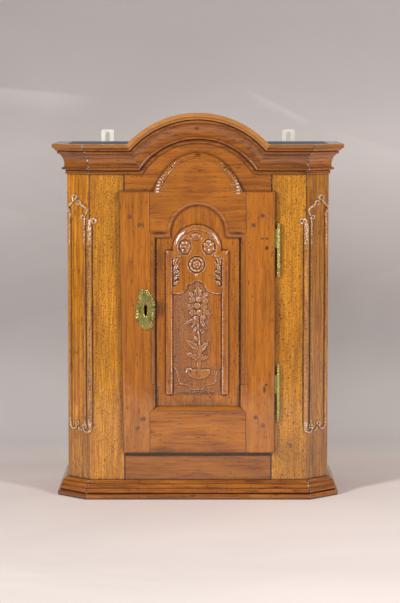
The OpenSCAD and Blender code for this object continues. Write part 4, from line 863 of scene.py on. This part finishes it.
def carved_panel(material):
    """The door panel, a solid whose front is the carved height field."""
    low, high = corners("door_panel")
    back, arch_r = high[1], high[2] - ARCH_Z
    xs = graded(low[0], AXIS_X - FIELD_HALF - 2, AXIS_X + FIELD_HALF + 2, high[0])
    zs = graded(low[2], FIELD_LOW - 3, FINE_TOP, high[2])
    grid_x, grid_z = np.meshgrid(xs, zs)
    # Columns beyond the arched head stop at the shoulders
    arch = np.sqrt(np.clip(arch_r ** 2 - np.maximum(grid_z - ARCH_Z, 0) ** 2, 0, None))
    reach = np.where(grid_z > SHOULDER, arch, high[0])
    grid_x = np.clip(grid_x, -reach, reach)
    height = panel_height(grid_x - AXIS_X, grid_z)
    front = np.stack([grid_x, back - MARGIN_DEPTH - height, grid_z], axis=-1).reshape(-1, 3)
    rear = np.stack([grid_x, np.full_like(grid_x, back), grid_z], axis=-1).reshape(-1, 3)
    count, columns = grid_x.size, len(xs)
    gaps = np.abs(np.diff(grid_x, axis=1))
    faces = []
    for row, column in np.argwhere(np.maximum(gaps[:-1], gaps[1:]) >= SLIVER).tolist():
        a = row * columns + column
        faces.append((a, a + 1, a + columns + 1, a + columns))
    back_faces = [tuple(count + i for i in reversed(f)) for f in faces]
    edges = dict.fromkeys(edge for f in faces for edge in zip(f, f[1:] + f[:1]))
    rim = [(b, a, count + a, count + b) for a, b in edges if (b, a) not in edges]
    piece = make_piece("carved_panel", np.concatenate([front, rear]), faces + back_faces + rim, material,
                       "door", ["door_panel"])
    # The material paints dirt and shade into the cavities and a highlight onto the crests
    mark(piece, "cavity", np.concatenate([cavity_of(height).ravel(), np.zeros(count)]))
    mark(piece, "crest", np.concatenate([crest_of(height).ravel(), np.zeros(count)]))


# Corner ornaments: rounded strokes laid on the cant and round its edge

# Points round a stroke, and the heights between which the rolls shine less
RING = 12
CALM_LOW, CALM_HIGH, CALM_SHARE = 145, 470, 0.22
# Distance between the rings of a curve, and of a straight roll
CURVE_STEP, ROLL_STEP = 1.2, 6.0
# Where the rolls lie: u from the corner's edge over the cant, or below 0 over the front
OUTER_U, INNER_U, FRONT_U = 51.9, 11.5, -0.9


def on_corner(side, u, out, z):
    """A point that stands out from the corner's surface at u."""
    turn = math.radians(45) * ease(u, -2.5, 2.5)
    x, y = CORNER_X + u, CORNER_Y
    if u >= 0:
        x, y = CORNER_X + u * SLANT, CORNER_Y + u * SLANT
    return side * (x + out * math.sin(turn)), y - out * math.cos(turn), z


def curve(points, step=CURVE_STEP):
    """A smooth open curve through a few points, with width as a third value."""
    p = np.array(points, float)
    p = np.vstack([2 * p[0] - p[1], p, 2 * p[-1] - p[-2]])
    out = []
    for a, b, c, d in zip(p, p[1:], p[2:], p[3:]):
        count = max(2, int(np.hypot(*(c - b)[:2]) / step))
        for t in np.linspace(0, 1, count, endpoint=False):
            out.append(0.5 * (2 * b + (c - a) * t + (2 * a - 5 * b + 4 * c - d) * t ** 2
                              + (3 * b - a - 3 * c + d) * t ** 3))
    return np.array([*out, p[-2]])


def volute(cu, cz, radius, start, turns, width):
    """A spiral that winds inward round (cu, cz): start in degrees, turns signed."""
    count = int(abs(turns) * 22)
    rows = []
    for i in range(count + 1):
        t = i / count
        angle = math.radians(start) + 2 * math.pi * turns * t
        r = radius * (1 - 0.78 * t)
        rows.append((cu + r * math.cos(angle), cz + r * math.sin(angle), width * (1 - 0.35 * t)))
    return np.array(rows)


def scroll(points, *end):
    """A curve that ends in a volute."""
    return np.vstack([curve(points), volute(*end)])


def roll(u, low, high, half, *ends):
    """A straight roll up the corner, with what its upper end turns to."""
    return curve([(u, low, half), (u, 300, half), (u, high, half), *ends], ROLL_STEP)


def corner_strokes():
    """The strokes of one corner ornament, as rows of u, z and half width."""
    return [
        # Straight rolls: along the side edge, on the cant, and round the corner's edge
        roll(OUTER_U, 137, 519, 3.0, (50.4, 527, 2.4)),
        roll(INNER_U, 136, 512, 3.0),
        roll(FRONT_U, 134, 506, 4.8),
        # Heads of the inner rolls: a small curl on the cant and a volute on the front
        scroll([(INNER_U, 510, 3.0), (11, 519, 3.0)], 16.5, 520, 5.4, 180, -0.9, 2.7),
        scroll([(FRONT_U, 502, 4.8), (-1.6, 512, 3.8)], -8.0, 513.4, 6.4, 0, 1.2, 3.0),
        # Gable: the outer slope with the top scroll, and the inner slope with its scroll
        scroll([(51, 526, 2.4), (55.5, 531, 2.6), (56.4, 538.7, 3.2), (49.5, 544, 3.3), (43, 549, 3.2)],
               38.6, 556.4, 6.6, 300, 1.25, 2.8),
        scroll([(9, 524, 2.4), (5.4, 531, 2.8), (7.7, 538, 3.2), (15, 541.6, 3.2), (21.4, 544.6, 3.1)],
               27.6, 546.6, 5.8, 200, -1.2, 2.7),
        curve([(31, 549, 2.4), (34, 552, 2.4), (32.5, 558, 2.2), (35, 563, 1.6)]),
        # Foot: outer and inner scrolls that meet in a cusp between two leaves
        curve([(OUTER_U, 140, 3.0), (50.6, 131, 3.0), (45, 126.4, 2.9), (39, 127, 2.8),
                       (35, 131, 2.6)]),
        volute(32.4, 136.3, 5.6, 290, 1.2, 2.7),
        curve([(30, 131, 2.4), (27.5, 127, 2.7), (23.1, 124.3, 2.6), (19.5, 126, 2.0)]),
        scroll([(FRONT_U, 137, 4.8), (-1.6, 129, 3.8), (1.5, 123.6, 3.2), (8, 122.4, 2.9), (14, 124, 2.8)],
               12.1, 132.6, 6.2, 300, 1.2, 2.7),
        curve([(INNER_U, 139, 3.0), (12.4, 136, 2.6), (16, 134, 2.0)]),
    ]


def stroke(side, line, points, faces, crests):
    """Adds a closed half-sunk tube along (u, z, half width) rows."""
    first = len(points)
    tangent = np.gradient(line[:, :2], axis=0)
    tangent /= np.linalg.norm(tangent, axis=1)[:, None]
    for (u, z, w), (tu, tz) in zip(line, tangent):
        shine = CALM_SHARE if CALM_LOW <= z <= CALM_HIGH else 1.0
        for k in range(RING):
            a = 2 * math.pi * k / RING
            # Painted highlight on the tube's top, weaker along the rolls' middle stretch
            crests.append(max(0.0, math.sin(a) * 2.6 - 1.6) * shine)
            off, out = w * math.cos(a), w * (0.95 * math.sin(a) - 0.05)
            points.append(on_corner(side, u - tz * off, out, z + tu * off))
    order = 1 if side > 0 else -1
    last = len(points) - RING
    faces += ring_faces(first, len(line), RING, RING, order)
    faces.append(tuple(range(first, first + RING))[::-order])
    faces.append(tuple(range(last, last + RING))[::order])


def corner_ornament(side, name, material, node):
    points, faces, crests = [], [], []
    for line in corner_strokes():
        stroke(side, line, points, faces, crests)
    mark(make_piece(name, points, faces, material, "carcass", [node]), "crest", crests)


# Escutcheon: a scalloped cartouche between the keyhole and its own outline

KEY_X, KEY_Z = -96.0, 352.0
KEYHOLE_HALF_X, KEYHOLE_HALF_Z = 3.4, 11.5
# Outline round the keyhole's middle
OUTLINE = [(17, -0.5), (17.2, 6.8), (14.5, 20.3), (9.7, 29.5), (3.6, 38), (-3, 39.4), (-11.6, 37.6),
           (-13.2, 27), (-13.2, 17.9), (-16.6, 10), (-18, -0.9), (-17.8, -16), (-15, -24), (-9.7, -31.2),
           (-2.7, -37.4), (2.7, -38.9), (13.6, -31.9), (12.1, -20.3), (15.6, -8.7)]
PLATE_ANGLE = [math.degrees(math.atan2(z, x)) % 360 for x, z in OUTLINE]
PLATE_REACH = [math.hypot(x, z) for x, z in OUTLINE]
SCALLOPS = 26
# Points round the plate, and steps from the keyhole to the edge
ROUND, STEPS = 208, 16


def plate_point(angle, share):
    """A point between the keyhole's rim (share 0) and the plate's edge (share 1)."""
    hole_x, hole_z = KEYHOLE_HALF_X * math.cos(angle), KEYHOLE_HALF_Z * math.sin(angle)
    reach = np.interp(math.degrees(angle) % 360, PLATE_ANGLE, PLATE_REACH, period=360)
    reach *= 0.97 + 0.03 * math.cos(SCALLOPS * angle) * ease(share, 0.8, 1.0)
    edge_x, edge_z = reach * math.cos(angle), reach * math.sin(angle)
    return hole_x + (edge_x - hole_x) * share, hole_z + (edge_z - hole_z) * share


def plate_height(angle, share):
    """How far the plate stands out."""
    swell = 0.5 + 0.9 * math.sin(math.pi * min(1.0, share * 1.05))
    flute = 0.3 * math.cos(SCALLOPS * angle) * ease(share, 0.55, 0.9)
    rim = 0.45 * bell(share - 0.12, 0.08) + 0.35 * bell(share - 0.95, 0.05)
    return max(0.25, swell + flute + rim)


def escutcheon(material):
    back = corners("escutcheon")[1][1]
    points = []
    for raised in (1, 0):
        for j in range(STEPS + 1):
            for i in range(ROUND):
                angle, share = 2 * math.pi * i / ROUND, j / STEPS
                x, z = plate_point(angle, share)
                points.append((KEY_X + x, back - raised * plate_height(angle, share), KEY_Z + z))
    size, rings = len(points) // 2, STEPS + 1
    edge = size - ROUND
    faces = ring_faces(0, rings, ROUND, ROUND, -1)
    faces += ring_faces(size, rings, ROUND, ROUND)
    faces += ring_faces(0, 2, ROUND, size) + ring_faces(edge, 2, ROUND, size, -1)
    make_piece("escutcheon_plate", points, faces, material, "door", ["escutcheon"])


# Stage, lamps and camera

# Colours of the paper from the floor up, with painted shade that darkens it up the wall, and the heights
# where each comes in
FLOOR_COLOUR = (250, 238, 232)
WALL_COLOURS = [((232, 226, 223), 0, 30), ((201, 194, 192), 40, 260), ((178, 171, 169), 450, 1000)]
# Painted light: gain in lightness per millimetre to the right
SIDEWAYS = 0.00018
# Painted light below folds in the paper: two ends (x, z), how far the lit side reaches and its strength
FOLD_LIGHT = (244, 236, 232)
CREASES = [(-640, 778, -190, 738, 60, 0.16), (95, 762, 262, 678, 22, 0.14), (262, 678, 480, 610, 60, 0.08),
           (-700, 560, -300, 470, 80, 0.06), (300, 330, 640, 420, 70, 0.1)]
# The sheet's front end, its bend and the bend's radius, its half width and its top
SHEET_FRONT, BEND_Y, BEND_R, SHEET_HALF, SHEET_TOP = -1500.0, 260.0, 420.0, 6000.0, 3600.0
BEND_STEPS = 24
ROOM_COLOUR, ROOM_STRENGTH = (200, 193, 190), 0.18
# Where the lamps aim, in metres, their distance and their size
AIM = (0.0, -0.11, 0.36)
LAMP_DISTANCE, LAMP_WIDE, LAMP_TALL = 2850, 340, 1200
CAMERA_X, CAMERA_DISTANCE, CAMERA_Z = 3.9, 4217.6, 753.85
CAMERA_DOWN = 5.253
FOCAL_PIXELS, IMAGE_HEIGHT = 2300.0, 603.0
SENSOR = 36.0


def fold_edge(s, at, x_1, z_1, x_2, z_2, reach):
    """1 just below a fold line that fades away from it."""
    run = math.hypot(x_2 - x_1, z_2 - z_1)
    tx, tz = (x_2 - x_1) / run, (z_2 - z_1) / run
    off = s.vector("SUBTRACT", at, (x_1, 0, z_1))
    along = s.vector("DOT_PRODUCT", off, (tx, 0, tz))
    below = s.vector("DOT_PRODUCT", off, (tz, 0, -tx))
    edge = s.times(s.span(below, -3, 4), s.span(below, reach, 4))
    return s.times(edge, s.between(along, 0, run, 0.3 * run))


def see_through_behind(s):
    """Lets a camera behind the sheet see the cabinet through it."""
    behind = s.times(s.node("NewGeometry").outputs["Backfacing"],
                     s.node("LightPath").outputs["Is Camera Ray"])
    surface = s.tree.nodes["Principled BSDF"].outputs[0]
    clear = s.node("BsdfTransparent").outputs[0]
    choice = s.node("MixShader", behind, surface, clear)
    s.feed(s.tree.nodes["Material Output"].inputs["Surface"], choice.outputs[0])


def paper():
    """Off-white paper with soft waves and a few folds, and painted light: darker up the wall, lighter to the
    right and below each fold.
    """
    s = Shader("paper_sweep")
    at = s.place()
    x, _, z = s.split(at)
    waves = s.noise(s.scaled(at, 0.0016, 0.002, 0.003), 3.0, 0.5, 0.6)
    colour = srgb(*FLOOR_COLOUR)
    # Painted shade: darker up the wall
    for wall, low, high in WALL_COLOURS:
        colour = s.mix(s.span(z, low, high), colour, srgb(*wall))
    # Painted light: lighter to the right
    colour = s.shaded(colour, s.plus(s.span(waves, 0.3, 0.7, 0.96, 1.04), s.times(x, SIDEWAYS)))
    # Painted light below each fold
    for *fold, strength in CREASES:
        colour = s.mix(s.times(fold_edge(s, at, *fold), strength), colour, srgb(*FOLD_LIGHT))
    relief = s.times(s.span(waves, 0.2, 0.8), s.span(z, -10.0, 200.0, 0.25, 1.0))
    normal = s.bump(relief, 14.0, s.bump(s.noise(s.scaled(at, 0.2)), 0.05))
    material = s.finish(colour, 0.9, normal, specular=0.1)
    see_through_behind(s)
    return material


def stage():
    """One sheet: a floor that sweeps up into a wall behind the cabinet."""
    profile = [(SHEET_FRONT, 0.0), (BEND_Y, 0.0)]
    for i in range(1, BEND_STEPS + 1):
        a = math.pi / 2 * i / BEND_STEPS
        profile.append((BEND_Y + BEND_R * math.sin(a), BEND_R * (1 - math.cos(a))))
    profile.append((BEND_Y + BEND_R, SHEET_TOP))
    points = [(x, y, z) for y, z in profile for x in (-SHEET_HALF, SHEET_HALF)]
    faces = [(i, i + 1, i + 3, i + 2) for i in range(0, len(points) - 2, 2)]
    sweep = smooth_object("paper_sweep", points, faces, paper())


def lamp(name, direction, power):
    """A tall soft lamp that looks at the cabinet's middle."""
    data = bpy.data.lights.new(name, "AREA")
    data.shape = "RECTANGLE"
    data.size, data.size_y = LAMP_WIDE * MM, LAMP_TALL * MM
    data.energy = power
    lit = add_object(name, data)
    aim = Vector(AIM)
    lit.location = aim + Vector(direction).normalized() * LAMP_DISTANCE * MM
    lit.rotation_euler = (aim - lit.location).to_track_quat("-Z", "Y").to_euler()


def room():
    """An even white light, and beyond the paper the wall's own grey for the camera."""
    world = bpy.data.worlds.new("room")
    world.use_nodes = True
    nodes, links = world.node_tree.nodes, world.node_tree.links
    light, seen = nodes["Background"], nodes.new("ShaderNodeBackground")
    light.inputs["Color"].default_value = (1.0, 1.0, 1.0, 1.0)
    light.inputs["Strength"].default_value = ROOM_STRENGTH
    seen.inputs["Color"].default_value = srgb(*ROOM_COLOUR)
    camera_ray = nodes.new("ShaderNodeLightPath").outputs["Is Camera Ray"]
    choice = nodes.new("ShaderNodeMixShader")
    for given, taken in zip((camera_ray, light.outputs[0], seen.outputs[0]), choice.inputs):
        links.new(given, taken)
    links.new(choice.outputs[0], nodes["World Output"].inputs["Surface"])
    bpy.context.scene.world = world


def camera():
    data = bpy.data.cameras.new("view")
    data.sensor_width = SENSOR
    data.lens = FOCAL_PIXELS / IMAGE_HEIGHT * SENSOR
    data.clip_end = 30.0
    eye = add_object("view", data)
    eye.location = (CAMERA_X * MM, (CORNER_Y - CAMERA_DISTANCE) * MM, CAMERA_Z * MM)
    eye.rotation_euler = (math.radians(90 - CAMERA_DOWN), 0.0, 0.0)
    bpy.context.scene.camera = eye


# Making

camera()
stage()
lamp("lamp_left", (-0.6, -0.72, 0.36), 58)
lamp("lamp_right", (0.62, -0.7, 0.34), 38)
room()
bpy.context.scene.view_settings.view_transform = "Standard"
dress_nodes()

PANEL_SEED, CORNER_SEED, CORNER_TONE = 41, 44, 0.8
PANEL_STAINS_AND_SHADE = [(-66, 352, 15, 24, 0.9, 0.6), (-70, 440, 13, 62, 0.9, 0.45), (0, 178, 80, 9, 0.6, 0.35),
                # Painted shadow under the raised field's foot
                (-1.4, 197.0, 50, 3.2, 0.5, 0.75)]
panel_wood = wood("door_panel_wood", "panel", Z, middle("door_panel"), PANEL_SEED, carved=True,
                  waxed=0.18, seams=[SIGHT_EDGE], stains=PANEL_STAINS_AND_SHADE)
carved_panel(panel_wood)
for hand, word in ((-1, "left"), (1, "right")):
    ornament, bead = "corner_ornament_" + word, "corner_bead_" + word
    bead_wood = wood(ornament + "_wood", "cant", Z, middle(bead), CORNER_SEED + hand, CORNER_TONE,
                     carved=True, waxed=0.14)
    corner_ornament(hand, ornament, bead_wood, bead)
escutcheon(aged_metal("escutcheon_brass", (190, 176, 100), (74, 70, 36), 0.25, patina=0.9))
